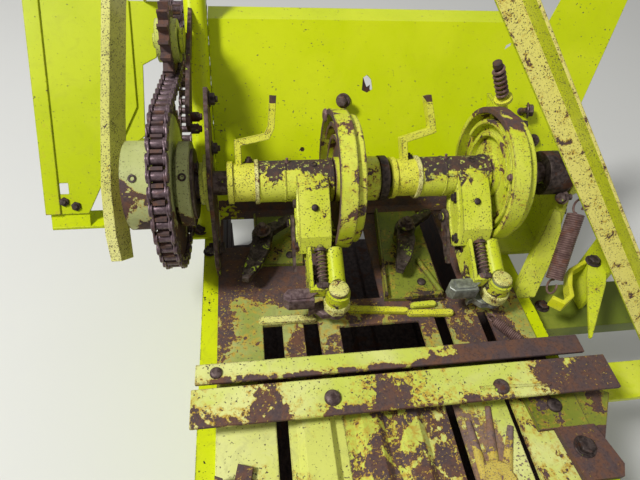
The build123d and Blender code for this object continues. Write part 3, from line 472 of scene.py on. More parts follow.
class Finish(Enum):
    """Every finish of the unit, its values in the order of the attributes of its class."""

    SMOOTH = LimePaint("lime_smooth", Tone.BRIGHT, 0.05, 9.0, 90.0, 0.16, 0.7, 0.002, 0.10, 0.3,
                       (Zone(DOWN, -0.398, -0.384, 0.40),))
    GUARD = LimePaint("lime_guard", Tone.DEEP, 0.06, 10.0, 110.0, 0.15, 0.7, 0.003, 0.16, 0.5,
                      (Zone(RIGHT, -0.494, -0.497, 0.10), Zone(DOWN, -0.52, -0.40, 0.10)))
    ARCH = LimePaint("lime_arch", Tone.CREAM, 0.26, 26.0, 240.0, 1.0, 0.5, 0.003, 0.3, 0.8,
                     (Zone(RIGHT, 0.2, 0.6, -0.10, True),))
    POST = LimePaint("lime_post", Tone.BRIGHT, 0.10, 16.0, 130.0, 0.3, 0.5, 0.003, 0.2, 0.4,
                     (Zone(LEFT, 0.262, 0.270, 0.16),))
    WALL = LimePaint("lime_wall", Tone.BRIGHT, 0.16, 12.0, 120.0, 0.4, 0.6, 0.003, 0.3)
    # Chamber walls: their inner faces are worn to very dark steel, painted shade inside the chamber
    WALL_LEFT = LimePaint("lime_wall_left", Tone.BRIGHT, 0.16, 12.0, 120.0, 0.4, 0.8, 0.004, 0.3, 0.5,
                          (Zone(RIGHT, 0.5, 0.9, 0.7, True),), srgb(44, 36, 34), srgb(66, 46, 36))
    WALL_RIGHT = LimePaint("lime_wall_right", Tone.BRIGHT, 0.16, 12.0, 120.0, 0.4, 0.8, 0.004, 0.3, 0.5,
                           (Zone(LEFT, 0.5, 0.9, 0.7, True),), srgb(44, 36, 34), srgb(66, 46, 36))
    # Side beam: olive-shade tone, its lime darkened as painted shade
    BEAM = LimePaint("lime_beam", Tone.OLIVE_SHADE, 0.10, 12.0, 120.0, 0.3, 0.7, 0.003, 0.3)
    RAIL = LimePaint("lime_rail", Tone.MIDDLE, 0.08, 12.0, 120.0, 0.3, 0.7, 0.003, 0.2)
    # Deck: the zone bares the steel towards the rear under the knotters, wear and painted shade there
    DECK = LimePaint("lime_deck", Tone.SAGE, 0.72, 12.0, 130.0, 0.7, 0.6, 0.003, 0.6, 0.8,
                     (Zone(FRONT, -0.16, -0.06, 0.22),))
    # Tucker brackets: olive-shade tone and very dark steel, worn paint darkened as painted shade
    BRACKET = LimePaint("lime_bracket", Tone.OLIVE_SHADE, 0.52, 26.0, 170.0, 0.8, 0.9, 0.004, 0.6, 0.6, (),
                        srgb(62, 52, 48), srgb(84, 62, 48))
    SLAT = LimePaint("lime_slat", Tone.CHALK, 0.46, 14.0, 130.0, 0.6, 0.6, 0.004, 0.35, 0.8)
    SLAT_BARE = LimePaint("lime_slat_bare", Tone.PALE, 0.72, 14.0, 130.0, 0.6, 0.4, 0.004, 0.4, 0.9)
    FAN = LimePaint("lime_fan", Tone.PALE, 0.62, 18.0, 150.0, 0.8, 0.6, 0.003, 0.35, 1.0,
                    (Zone(RIGHT, 0.122, 0.132, -0.2),), srgb(124, 104, 96), srgb(150, 116, 84))
    FINGERS = LimePaint("ochre_fingers", Tone.OCHRE, 0.40, 60.0, 260.0, 0.9, 0.6, 0.003, 0.4, 0.8,
                        (Zone(FRONT, -0.385, -0.335, 0.26),), srgb(120, 102, 98), srgb(138, 104, 80))
    BAR = LimePaint("ochre_bar", Tone.LEMON, 0.20, 40.0, 240.0, 0.8, 1.2, 0.003, 0.4, 1.0)
    # Corner bracket: olive-shade tone, worn paint darkened as painted shade
    CORNER = LimePaint("lime_corner", Tone.OLIVE_SHADE, 0.62, 22.0, 150.0, 0.6, 0.7, 0.003, 0.35, 0.4,
                       (Zone(REAR, 0.343, 0.347, 0.24),))
    ANGLE_FRONT = LimePaint("lime_angle_front", Tone.PALE, 0.28, 12.0, 130.0, 0.5, 0.9, 0.004, 0.3, 0.8,
                            (Zone(RIGHT, -0.02, 0.12, 0.30), Zone(REAR, 0.243, 0.256, 0.20)))
    ANGLE_REAR = LimePaint("lime_angle_rear", Tone.PALE, 0.52, 11.0, 130.0, 0.7, 0.8, 0.003, 0.3, 1.0,
                           (Zone(RIGHT, 0.00, 0.26, 0.08), Zone(REAR, 0.28, 0.31, 0.06)))
    BRACE = LimePaint("lime_brace", Tone.MIDDLE, 0.10, 64.0, 230.0, 0.9, 1.1, 0.003, 0.1, 1.0,
                      (Zone(BRACE_LEFT, 0.5, 0.9, 0.16, True),),
                      fade=(Zone(BRACE_LEFT, 0.5, 0.9, 1.0, True),))
    FITTING = LimePaint("lime_fitting", Tone.MIDDLE, 0.24, 24.0, 170.0, 0.6, 0.8, 0.003, 0.3)
    LEVER = LimePaint("lime_lever", Tone.LEMON, 0.30, 60.0, 240.0, 0.9, 1.3, 0.0022, 0.25, 0.9,
                      (Zone(UP, 0.6055, 0.6070, 0.8),), srgb(70, 58, 54), srgb(92, 68, 54))
    HOOK = LimePaint("lime_hook", Tone.LEMON, 0.14, 50.0, 240.0, 0.5, 0.8, 0.0022, 0.3, 1.0)
    WHEEL = LimePaint("lime_wheel", Tone.MIDDLE, 0.53, 30.0, 200.0, 0.6, 1.6, 0.005, 0.3, 0.5,
                      (Zone(LEFT, 0.3, 0.8, 0.24, True),))
    WHEEL_RIGHT = LimePaint("lime_wheel_right", Tone.MIDDLE, 0.36, 34.0, 200.0, 0.7, 1.1, 0.004, 0.3, 0.8,
                            (Zone(LEFT, 0.3, 0.8, 0.08, True),
                             Zone((0.0, 0.4, 1.0), 0.588, 0.606, 0.22)))
    CAST = LimePaint("lime_cast", Tone.MIDDLE, 0.28, 44.0, 190.0, 0.7, 1.1, 0.003, 0.25, 0.5,
                     (Zone((0.0, 0.3, 1.0), 0.498, 0.546, 0.34), Zone(DOWN, -0.445, -0.43, 0.18)),
                     srgb(66, 57, 55), srgb(92, 68, 56), flecks=0.17, fleck=srgb(192, 200, 96))
    SPROCKET = LimePaint("lime_sprocket", Tone.DULL, 0.26, 20.0, 180.0, 0.7, 0.6, 0.003, 0.4, 0.4,
                         (Zone((0.0, 0.0, 0.508), 0.094, 0.100, 0.6, hub=True),
                          Zone((-0.7, -0.5, -0.9), -0.247, -0.235, 0.26)))
    IDLER = LimePaint("lime_idler", Tone.PALE, 0.30, 30.0, 180.0, 0.8, 0.6, 0.003, 0.4, 0.3,
                      (Zone((0.0, 0.175, 0.633), 0.030, 0.034, 0.6, hub=True),))
    DRIVER = LimePaint("lime_driver", Tone.PALE, 0.30, 30.0, 180.0, 0.8, 0.6, 0.003, 0.4, 0.3,
                       (Zone((0.0, 0.3177, 0.560), 0.046, 0.050, 0.6, hub=True),))
    BOSS = LimePaint("lime_boss", Tone.CREAM, 0.44, 60.0, 240.0, 1.0, 0.7, 0.003, 0.4, 0.9)
    FINGER = OldSteel("steel_finger", srgb(44, 36, 34), srgb(92, 80, 76), srgb(84, 54, 40), 0.4, 0.3, 0.5, 0.42)
    MAUVE = OldSteel("steel_mauve", srgb(84, 66, 68), srgb(132, 112, 112), srgb(108, 78, 70), 0.35, 0.3, 0.5)
    # Chamber floor and deck's rear tie: very dark steel, painted shade inside the chamber
    INSIDE_SHADE = OldSteel("steel_inside_shade", srgb(40, 32, 30), srgb(66, 54, 50), srgb(72, 48, 36), 0.5, 0.2, 0.6)
    CHAIN = OldSteel("steel_chain", srgb(84, 68, 72), srgb(124, 106, 110), srgb(104, 76, 70), 0.30, 0.45, 0.38)
    SHAFT = OldSteel("steel_shaft", srgb(66, 52, 50), srgb(112, 96, 92), srgb(104, 66, 44), 0.45, 0.35, 0.5, 0.25)
    PLATE = OldSteel("steel_plate", srgb(60, 46, 44), srgb(104, 86, 80), srgb(110, 70, 48), 0.5, 0.25, 0.6, 0.35)
    DARK = OldSteel("steel_dark", srgb(44, 36, 34), srgb(86, 74, 70), srgb(84, 54, 40), 0.45, 0.3, 0.55, 0.12)
    WORN = OldSteel("steel_worn", srgb(120, 122, 116), srgb(168, 172, 164), srgb(120, 92, 70), 0.25, 0.6, 0.38)
    SPRING = OldSteel("steel_spring", srgb(96, 72, 68), srgb(134, 108, 102), srgb(118, 78, 62), 0.4, 0.25, 0.55)


NODE_FINISHES: dict[Finish, tuple[str, ...]] = {
    Finish.SMOOTH: ("hood_panel",),
    Finish.GUARD: ("left_guard_panel", "inner_guard_plate"),
    Finish.ARCH: ("arch_guard",),
    Finish.POST: ("post_tube",),
    Finish.WALL: ("guard_bar_rear", "guard_bar_front", "driver_plate"),
    Finish.WALL_LEFT: ("chamber_left_wall",),
    Finish.WALL_RIGHT: ("chamber_right_wall",),
    Finish.BEAM: ("side_beam",),
    Finish.RAIL: ("outrigger_bar",),
    Finish.DECK: ("deck_front_plate",),
    Finish.BRACKET: ("tucker_bracket_left", "tucker_bracket_right"),
    Finish.SLAT: ("deck_slat_left", "deck_slat_ridged"),
    Finish.SLAT_BARE: ("deck_slat_corrugated", "deck_slat_right"),
    Finish.FAN: ("deck_slat_fan",),
    Finish.CORNER: ("deck_corner_bracket",),
    Finish.ANGLE_FRONT: ("cross_angle_front",),
    Finish.ANGLE_REAR: ("cross_angle_rear",),
    Finish.BRACE: ("diagonal_brace",),
    Finish.FITTING: ("channel_strut", "lever_post", "blade_strut", "right_bearing_bracket", "idler_arm",
                     "brake_bracket", "right_bearing", "left_bearing"),
    Finish.LEVER: ("lift_lever_left", "lift_lever_right"),
    Finish.HOOK: ("hook_lever",),
    Finish.WHEEL: ("cam_wheel_left",),
    Finish.WHEEL_RIGHT: ("cam_wheel_right",),
    Finish.CAST: ("knotter_frame_left", "knotter_frame_right"),
    Finish.SPROCKET: ("knotter_sprocket",),
    Finish.IDLER: ("idler_sprocket",),
    Finish.DRIVER: ("driver_sprocket",),
    Finish.CHAIN: ("drive_chain",),
    Finish.SHAFT: ("knotter_shaft", "brake_rod", "knife_arm_left", "knife_arm_right"),
    Finish.PLATE: ("left_bearing_plate", "clutch_latch"),
    Finish.INSIDE_SHADE: ("chamber_floor", "deck_rear_tie"),
    Finish.FINGER: ("tucker_finger_left", "tucker_finger_right"),
    Finish.MAUVE: ("bill_hook_left", "twine_disc_left"),
    Finish.WORN: ("bill_hook_right", "twine_disc_right"),
    Finish.SPRING: ("return_spring", "latch_spring"),
}


class Paintshop:
    """Makes each finish once and hands it to whatever wears it."""

    def __init__(self) -> None:
        """Start with nothing mixed."""
        self.made: dict[Finish, bpy.types.Material] = {}

    def get(self, finish: Finish) -> bpy.types.Material:
        """Return the material of a finish, made the first time it is asked for.

        Args:
            finish: The finish wanted.

        Returns:
            Its material.
        """
        if finish not in self.made:
            self.made[finish] = finish.value.build()
        return self.made[finish]

    def dress_nodes(self) -> None:
        """Give every CAD node its finish."""
        for finish, names in NODE_FINISHES.items():
            for name in names:
                mesh = frame["nodes"][name].data
                mesh.materials.clear()
                mesh.materials.append(self.get(finish))
            LOG.info("finish %s on %d nodes", finish.name, len(names))
        bare = set(frame["nodes"]) - {n for names in NODE_FINISHES.values() for n in names}
        if bare:
            LOG.warning("no finish for %s", sorted(bare))


# Stage


@dataclass
class Studio:
    """Floor, lamps, world and the camera at the photograph's angle."""

    eye: Point = (-0.176, -0.533, 0.978)
    yaw: float = math.radians(11.6)
    pitch: float = math.radians(48.0)
    roll: float = math.radians(5.9)
    focal_px: float = 481.0
    image_px: float = 640.0
    film_mm: float = 36.0
    floor_colour: Colour = srgb(214, 214, 210)
    floor_cloud: Colour = srgb(198, 198, 194)
    floor_reach: float = 4.0
    world_colour: Colour = (0.90, 0.90, 0.90)
    world_strength: float = 0.33
    backdrop: Colour = (0.66, 0.66, 0.65)
    lamps: tuple[tuple[str, Point, float, float], ...] = (
        ("key", (-2.6, -0.84, 3.8), 0.70, 192.0),
        ("fill", (2.9, -3.0, 3.0), 3.2, 13.0),
        ("back", (0.6, 3.4, 2.8), 2.6, 12.0),
    )

    def place_camera(self) -> None:
        """Aim the camera: its axes are the solved view's forward, right and up, turned by the roll."""
        sy, cy = math.sin(self.yaw), math.cos(self.yaw)
        sp, cp = math.sin(self.pitch), math.cos(self.pitch)
        ahead = Vector((sy * cp, cy * cp, -sp))
        side = Vector((cy, -sy, 0.0))
        up = side.cross(ahead)
        right = math.cos(self.roll) * side + math.sin(self.roll) * up
        top = -math.sin(self.roll) * side + math.cos(self.roll) * up
        data = bpy.data.cameras.new("photo_camera")
        data.sensor_width = self.film_mm
        data.lens = self.film_mm * self.focal_px / self.image_px
        data.clip_start = 0.01
        camera = bpy.data.objects.new("photo_camera", data)
        turn = Matrix((right, top, -ahead)).transposed()
        camera.matrix_world = Matrix.Translation(self.eye) @ turn.to_4x4()
        bpy.context.scene.collection.objects.link(camera)
        bpy.context.scene.camera = camera

    def place_lamps(self) -> None:
        """Hang the soft lamps, each aimed at the knotters."""
        for name, spot, size, power in self.lamps:
            data = bpy.data.lights.new(name, "AREA")
            data.energy = power
            data.size = size
            lamp = bpy.data.objects.new(name, data)
            aim = Vector((0.0, 0.0, SHAFT_Z)) - Vector(spot)
            lamp.matrix_world = Matrix.Translation(spot) @ aim.to_track_quat("-Z", "Y").to_matrix().to_4x4()
            bpy.context.scene.collection.objects.link(lamp)

    def fill_world(self) -> None:
        """Pale surroundings, brighter for the camera than for the surfaces."""
        world = bpy.data.worlds.new("studio")
        bpy.context.scene.world = world
        world.use_nodes = True
        tree = world.node_tree
        lit, surface = tree.nodes["Background"], tree.nodes["World Output"].inputs["Surface"]
        lit.inputs["Color"].default_value = (*self.world_colour, 1.0)
        lit.inputs["Strength"].default_value = self.world_strength
        seen = tree.nodes.new("ShaderNodeBackground")
        seen.inputs["Color"].default_value = (*self.backdrop, 1.0)
        path, mix = tree.nodes.new("ShaderNodeLightPath"), tree.nodes.new("ShaderNodeMixShader")
        for source, target in (
                (path.outputs["Is Camera Ray"], mix.inputs[0]), (lit.outputs[0], mix.inputs[1]),
                (seen.outputs[0], mix.inputs[2]), (mix.outputs[0], surface)):
            tree.links.new(source, target)

    def lay_floor(self) -> None:
        """Pale floor: a flat grid at the height of the feet."""
        reach = np.linspace(-self.floor_reach, self.floor_reach, 9)
        x, y = np.meshgrid(reach, reach, indexing="ij")
        floor = Surface.grid(np.stack([x, y, np.zeros_like(x)], axis=-1)).to_object("floor")
        g = Graph("floor_pale")
        cloud = g.noise(2.0, 4.0, 0.5)
        colour = g.mix(cloud * 0.25, self.floor_colour, self.floor_cloud)
        floor.data.materials.append(g.finish(colour, 0.8, cloud, 0.0002))

    def build(self) -> None:
        """Set up everything round the object."""
        self.place_camera()
        self.place_lamps()
        self.fill_world()
        self.lay_floor()
        bpy.context.scene.view_settings.view_transform = "Standard"
        LOG.info("studio ready")


# Surfaces worked out as whole arrays

SHARP = math.radians(34.0)


@dataclass
class Surface:
    """Points and faces of one or more sheets, kept as arrays."""

    points: np.ndarray = field(default_factory=lambda: np.zeros((0, 3)))
    quads: np.ndarray = field(default_factory=lambda: np.zeros((0, 4), int))
    tris: np.ndarray = field(default_factory=lambda: np.zeros((0, 3), int))

    @staticmethod
    def grid(points: np.ndarray, wrap_u: bool = False, wrap_v: bool = False,
             cap: bool = False) -> "Surface":
        """Sheet over a grid of points.

        Point (i, j) joins its neighbours i + 1 and j + 1, counted round where a direction wraps. A cap
        closes each end of the i direction with a fan about the mean of its ring.

        Args:
            points: Array of shape (i, j, 3).
            wrap_u: Close the i direction.
            wrap_v: Close the j direction.
            cap: Close both ends of the i direction.

        Returns:
            The sheet.
        """
        n, m = points.shape[:2]
        rows, columns = np.arange(n if wrap_u else n - 1), np.arange(m if wrap_v else m - 1)
        i, j = np.meshgrid(rows, columns, indexing="ij")
        down, across = (i + 1) % n, (j + 1) % m
        quads = np.stack([i * m + j, i * m + across, down * m + across, down * m + j], axis=-1).reshape(-1, 4)
        flat = points.reshape(-1, 3)
        tris = np.zeros((0, 3), int)
        if cap:
            ring = np.arange(m)
            following = (ring + 1) % m
            first = np.stack([following, ring, np.full(m, n * m)], axis=-1)
            last = np.stack([ring + (n - 1) * m, following + (n - 1) * m, np.full(m, n * m + 1)], axis=-1)
            flat = np.vstack([flat, points[0].mean(0), points[-1].mean(0)])
            tris = np.vstack([first, last])
        return Surface(flat, quads, tris)

    def join(self, *others: "Surface") -> "Surface":
        """Put sheets together, each with its own points.

        Args:
            *others: Sheets to add to this one.

        Returns:
            One surface with all their points and faces.
        """
        points, quads, tris = [self.points], [self.quads], [self.tris]
        count = len(self.points)
        for other in others:
            points.append(other.points)
            quads.append(other.quads + count)
            tris.append(other.tris + count)
            count += len(other.points)
        return Surface(np.vstack(points), np.vstack(quads), np.vstack(tris))

    def moved(self, spot: Sequence[float], normal: Sequence[float], turn: float) -> "Surface":
        """Carry a shape made about the origin to a place, its Z axis along the normal and turned about it."""
        axes = frame_of(np.array(normal, float), turn)
        return Surface(self.points @ axes + np.array(spot), self.quads, self.tris)

    def in_mm(self, spot: Sequence[float] = (0.0, 0.0, 0.0), way: Sequence[float] = UP,
              turn: Optional[float] = None) -> "Surface":
        """Bring a shape drawn in millimetres into the frame.

        Args:
            spot: Place of the shape's origin, in millimetres from the shaft's axis.
            way: Direction that its Z axis gets, where it is turned.
            turn: Turn about that direction; a shape without one keeps its axes.

        Returns:
            The shape, in metres.
        """
        small = Surface(self.points * MM, self.quads, self.tris)
        if turn is None:
            return Surface(small.points + at(*spot), self.quads, self.tris)
        return small.moved(at(*spot), way, turn)

    def copies(self, axes: np.ndarray, spots: np.ndarray) -> "Surface":
        """Repeat the shape at many places at once.

        A point of copy k is the point's coordinates times the k-th three axes, plus the k-th spot.

        Args:
            axes: Array of shape (n, 3, 3), whose rows are the shape's X, Y and Z in each copy.
            spots: Array of shape (n, 3).

        Returns:
            All copies as one shape.
        """
        points = (np.einsum("pi,kij->kpj", self.points, axes) + spots[:, None]).reshape(-1, 3)
        step = np.arange(len(spots))[:, None, None] * len(self.points)
        quads, tris = (self.quads[None] + step).reshape(-1, 4), (self.tris[None] + step).reshape(-1, 3)
        return Surface(points, quads, tris)

    def to_object(self, name: str) -> bpy.types.Object:
        """Write the arrays into a mesh object at the origin, smooth but for its sharp edges.

        Args:
            name: Name of the object and its mesh.

        Returns:
            The object, linked to the scene.
        """
        mesh = bpy.data.meshes.new(name)
        mesh.from_pydata(self.points.tolist(), [], self.quads.tolist() + self.tris.tolist())
        mesh.update()
        mesh.polygons.foreach_set("use_smooth", np.full(len(mesh.polygons), True))
        mesh.set_sharp_from_angle(angle=SHARP)
        made = bpy.data.objects.new(name, mesh)
        bpy.context.scene.collection.objects.link(made)
        return made


def frame_of(normal: np.ndarray, turn: float = 0.0) -> np.ndarray:
    """Rows are two axes across a normal, turned about it, and the normal itself.

    Args:
        normal: Direction of any length.
        turn: Angle about it.

    Returns:
        Array of shape (3, 3).
    """
    normal = normal / np.linalg.norm(normal)
    guide = np.array([1.0, 0.0, 0.0]) if abs(normal[0]) < 0.9 else np.array([0.0, 1.0, 0.0])
    across = np.cross(normal, guide)
    across /= np.linalg.norm(across)
    other = np.cross(normal, across)
    first = math.cos(turn) * across + math.sin(turn) * other
    return np.stack([first, np.cross(normal, first), normal])


def lathe(profile: Iterable[tuple[float, float]], sides: int) -> Surface:
    """Profile of (height, radius) points carried round Z.

    Point (i, j) is radius i at the angle j of a full turn divided by the sides, at height i.

    Args:
        profile: Points from the lower end to the upper end.
        sides: Points round.

    Returns:
        The closed shape.
    """
    height, radius = np.array(list(profile)).T
    angle = 2 * np.pi * np.arange(sides) / sides
    ring = np.stack([np.cos(angle), np.sin(angle)], axis=-1)
    points = np.concatenate([radius[:, None, None] * ring[None], np.broadcast_to(
        height[:, None, None], (len(height), sides, 1))], axis=-1)
    return Surface.grid(points, wrap_v=True, cap=True)


def parallel_frames(path: np.ndarray, guide: Sequence[float]) -> tuple[np.ndarray, np.ndarray]:
    """Two unit directions across a path at each of its points: the way crossed with the guide, and again.

    Args:
        path: Points of shape (n, 3).
        guide: A direction that the path never follows.

    Returns:
        Both directions, each of shape (n, 3).
    """
    way = np.gradient(path, axis=0)
    way /= np.linalg.norm(way, axis=1, keepdims=True)
    first = np.cross(way, np.array(guide, float))
    first /= np.linalg.norm(first, axis=1, keepdims=True)
    return first, np.cross(way, first)


def tube(path: np.ndarray, radius: Union[float, np.ndarray], sides: int, guide: Sequence[float]) -> Surface:
    """Round section carried along a path.

    At each point the section's axes are the path's direction crossed with the guide, and the path's
    direction crossed with that.

    Args:
        path: Points of shape (n, 3).
        radius: One radius, or one for each point.
        sides: Points round.
        guide: A direction that the path never follows.

    Returns:
        The tube with closed ends.
    """
    first, second = parallel_frames(path, guide)
    angle = 2 * np.pi * np.arange(sides) / sides
    size = np.broadcast_to(np.asarray(radius, float), (len(path),))[:, None, None]
    ring = np.cos(angle)[None, :, None] * first[:, None] + np.sin(angle)[None, :, None] * second[:, None]
    return Surface.grid(path[:, None] + size * ring, wrap_v=True, cap=True)


def slab(outline: Sequence[tuple[float, float]], low: float, high: float, chamfer: float) -> Surface:
    """Flat plate with chamfered rims: the outline, drawn in towards its middle at the two faces.

    Ring k is the middle plus the outline's offset from it, shortened by the chamfer on the two end rings.

    Args:
        outline: Corners (x, y), counter-clockwise.
        low: Height of the lower face.
        high: Height of the upper face.
        chamfer: Width of the rim's slope.

    Returns:
        The closed plate, its faces towards Z.
    """
    flat = np.array(outline, float)
    middle = flat.mean(0)
    reach = np.linalg.norm(flat - middle, axis=1, keepdims=True)
    inner = middle + (flat - middle) * (1 - chamfer / reach)
    levels = ((inner, low), (flat, low + chamfer), (flat, high - chamfer), (inner, high))
    rings = [np.column_stack([shape, np.full(len(flat), z)]) for shape, z in levels]
    return Surface.grid(np.stack(rings), wrap_v=True, cap=True)


# Places and handing over


def at(x: float, y: float, z: float) -> np.ndarray:
    """Place given in millimetres from the knotter shaft's axis, as metres in the frame."""
    return np.array([x * MM, y * MM, SHAFT_Z + z * MM])


def joined(parts: Iterable[Surface]) -> Surface:
    """Put any number of sheets together."""
    first, *rest = parts
    return first.join(*rest)


@dataclass
class Yard:
    """Takes each finished piece: its finish, body and the nodes that it stands for."""

    shop: Paintshop
    count: int = 0

    def hand_over(self, piece: Union[Surface, bpy.types.Object], name: str, finish: Finish,
                  body: str = "frame",
                  replaces: Sequence[str] = ()) -> bpy.types.Object:
        """Dress a piece and tie it to its body.

        Args:
            piece: A surface, or an object that is already made.
            name: Name of the piece.
            finish: Its finish.
            body: Body that carries it.
            replaces: Nodes that it stands for.

        Returns:
            The object.
        """
        made = piece.to_object(name) if isinstance(piece, Surface) else piece
        made.data.materials.clear()
        made.data.materials.append(self.shop.get(finish))
        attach(made, body)
        if replaces:
            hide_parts(*replaces)
        self.count += 1
        LOG.info("piece %s, %d faces", name, len(made.data.polygons))
        return made


@dataclass
class RoundedEdges:
    """Copies of CAD nodes whose sharp edges are bevelled, as castings and rolled steel have them."""

    merge: float = 0.00001
    flat: float = math.radians(0.4)
    sharp: float = math.radians(28.0)
    steps: int = 2

    def copy(self, node: str, width: float) -> bpy.types.Object:
        """Merge a copy of the node's triangles, join its flat faces and bevel every edge over the angle.

        Args:
            node: Name of the CAD node.
            width: Width of the bevel, in metres.

        Returns:
            The rounded copy.
        """
        mesh = frame["nodes"][node].data.copy()
        for layer in [a for a in mesh.attributes if a.name == "custom_normal"]:
            mesh.attributes.remove(layer)
        shape = bmesh.new()
        shape.from_mesh(mesh)
        bmesh.ops.remove_doubles(shape, verts=shape.verts, dist=self.merge)
        bmesh.ops.dissolve_limit(shape, angle_limit=self.flat, verts=shape.verts, edges=shape.edges)
        for face in shape.faces:
            face.smooth = True
        shape.to_mesh(mesh)
        shape.free()
        mesh.name = node + "_rounded"
        made = bpy.data.objects.new(node + "_rounded", mesh)
        bpy.context.scene.collection.objects.link(made)
        bevel = made.modifiers.new("edge", "BEVEL")
        bevel.width = width
        bevel.segments = self.steps
        bevel.limit_method = "ANGLE"
        bevel.angle_limit = self.sharp
        bevel.use_clamp_overlap = True
        bevel.miter_outer = "MITER_ARC"
        weight = made.modifiers.new("normals", "WEIGHTED_NORMAL")
        weight.keep_sharp = True
        return made

    def build(self, yard: Yard) -> None:
        """Round every node of the table and hand each over with the node's own finish and body.

        Args:
            yard: Takes the finished pieces.
        """
        finish_of = {name: finish for finish, names in NODE_FINISHES.items() for name in names}
        record = frame["record"]
        bodies = {name: body for body, names in record["behaviour"]["bodies"].items() for name in names}
        for width, nodes in EDGE_WIDTHS.items():
            for node in nodes:
                yard.hand_over(self.copy(node, width), node + "_rounded", finish_of[node], bodies[node],
                               (node,))


# Fasteners


Lathed = tuple[Profile, int]

WASHER: Lathed = (((0, 0.2), (0, 1.28), (0.16, 1.32), (0.24, 1.24), (0.24, 0.2)), 24)
HEAD: Lathed = (((0.2, 0.3), (0.2, 0.98), (0.3, 1.0), (0.86, 1.0), (1.0, 0.84), (1.02, 0.3)), 6)
SHANK: Lathed = (((0.3, 0.52), (1.34, 0.52), (1.42, 0.44)), 16)


class Fastener(Enum):
    """Kinds of small fastener: lathed pieces, each (height, radius) points by its size, and sides round."""

    HEX = (WASHER, HEAD)
    NUT = (WASHER, HEAD, SHANK)
    DOME = ((((0, 1.0), (0.14, 1.0), (0.3, 0.93), (0.44, 0.74), (0.52, 0.46), (0.55, 0.16)), 24),)
    NIPPLE = ((((0, 1.0), (0.5, 1.0), (0.6, 0.62), (1.3, 0.5), (1.5, 0.62), (1.9, 0.58), (2.1, 0.3)), 12),)
    SET_SCREW = ((((-0.2, 1.0), (0.16, 1.0), (0.2, 0.9), (0.2, 0.52), (-0.15, 0.5)), 18),)
    STUD = ((((0, 0.8), (0.2, 0.8), (0.3, 0.6), (2.2, 0.6), (2.4, 0.5)), 14),)

    def shape(self, size: float) -> Surface:
        """Make the fastener about the origin, standing on Z = 0.

        Args:
            size: Radius of the head over its corners.

        Returns:
            The closed pieces of the fastener.
        """
        made = joined(lathe(profile, sides) for profile, sides in self.value)
        return Surface(made.points * size, made.quads, made.tris)


KNOTTER_X = {side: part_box(f"cam_wheel_{side}")[0][0] / MM + 36.0 for side in ("left", "right")}

# Bevel width in metres of each rounded node
EDGE_WIDTHS: dict[float, tuple[str, ...]] = {
    0.0022: ("knotter_frame_left", "knotter_frame_right"),
    0.0015: ("tucker_finger_left", "tucker_finger_right", "lift_lever_left", "lift_lever_right", "post_tube",
             "cross_angle_front", "cross_angle_rear", "diagonal_brace", "side_beam", "idler_arm", "hook_lever",
             "clutch_latch", "blade_strut", "lever_post", "cam_wheel_left", "cam_wheel_right", "left_bearing",
             "right_bearing", "right_bearing_bracket", "channel_strut"),
    0.001: ("left_guard_panel", "hood_panel", "arch_guard", "inner_guard_plate", "guard_bar_rear",
            "guard_bar_front", "deck_front_plate", "deck_slat_left", "deck_slat_ridged", "deck_slat_corrugated",
            "deck_slat_right", "tucker_bracket_left", "tucker_bracket_right", "left_bearing_plate",
            "deck_corner_bracket", "outrigger_bar", "brake_bracket", "driver_plate"),
    0.0008: ("bill_hook_left", "bill_hook_right"),
}

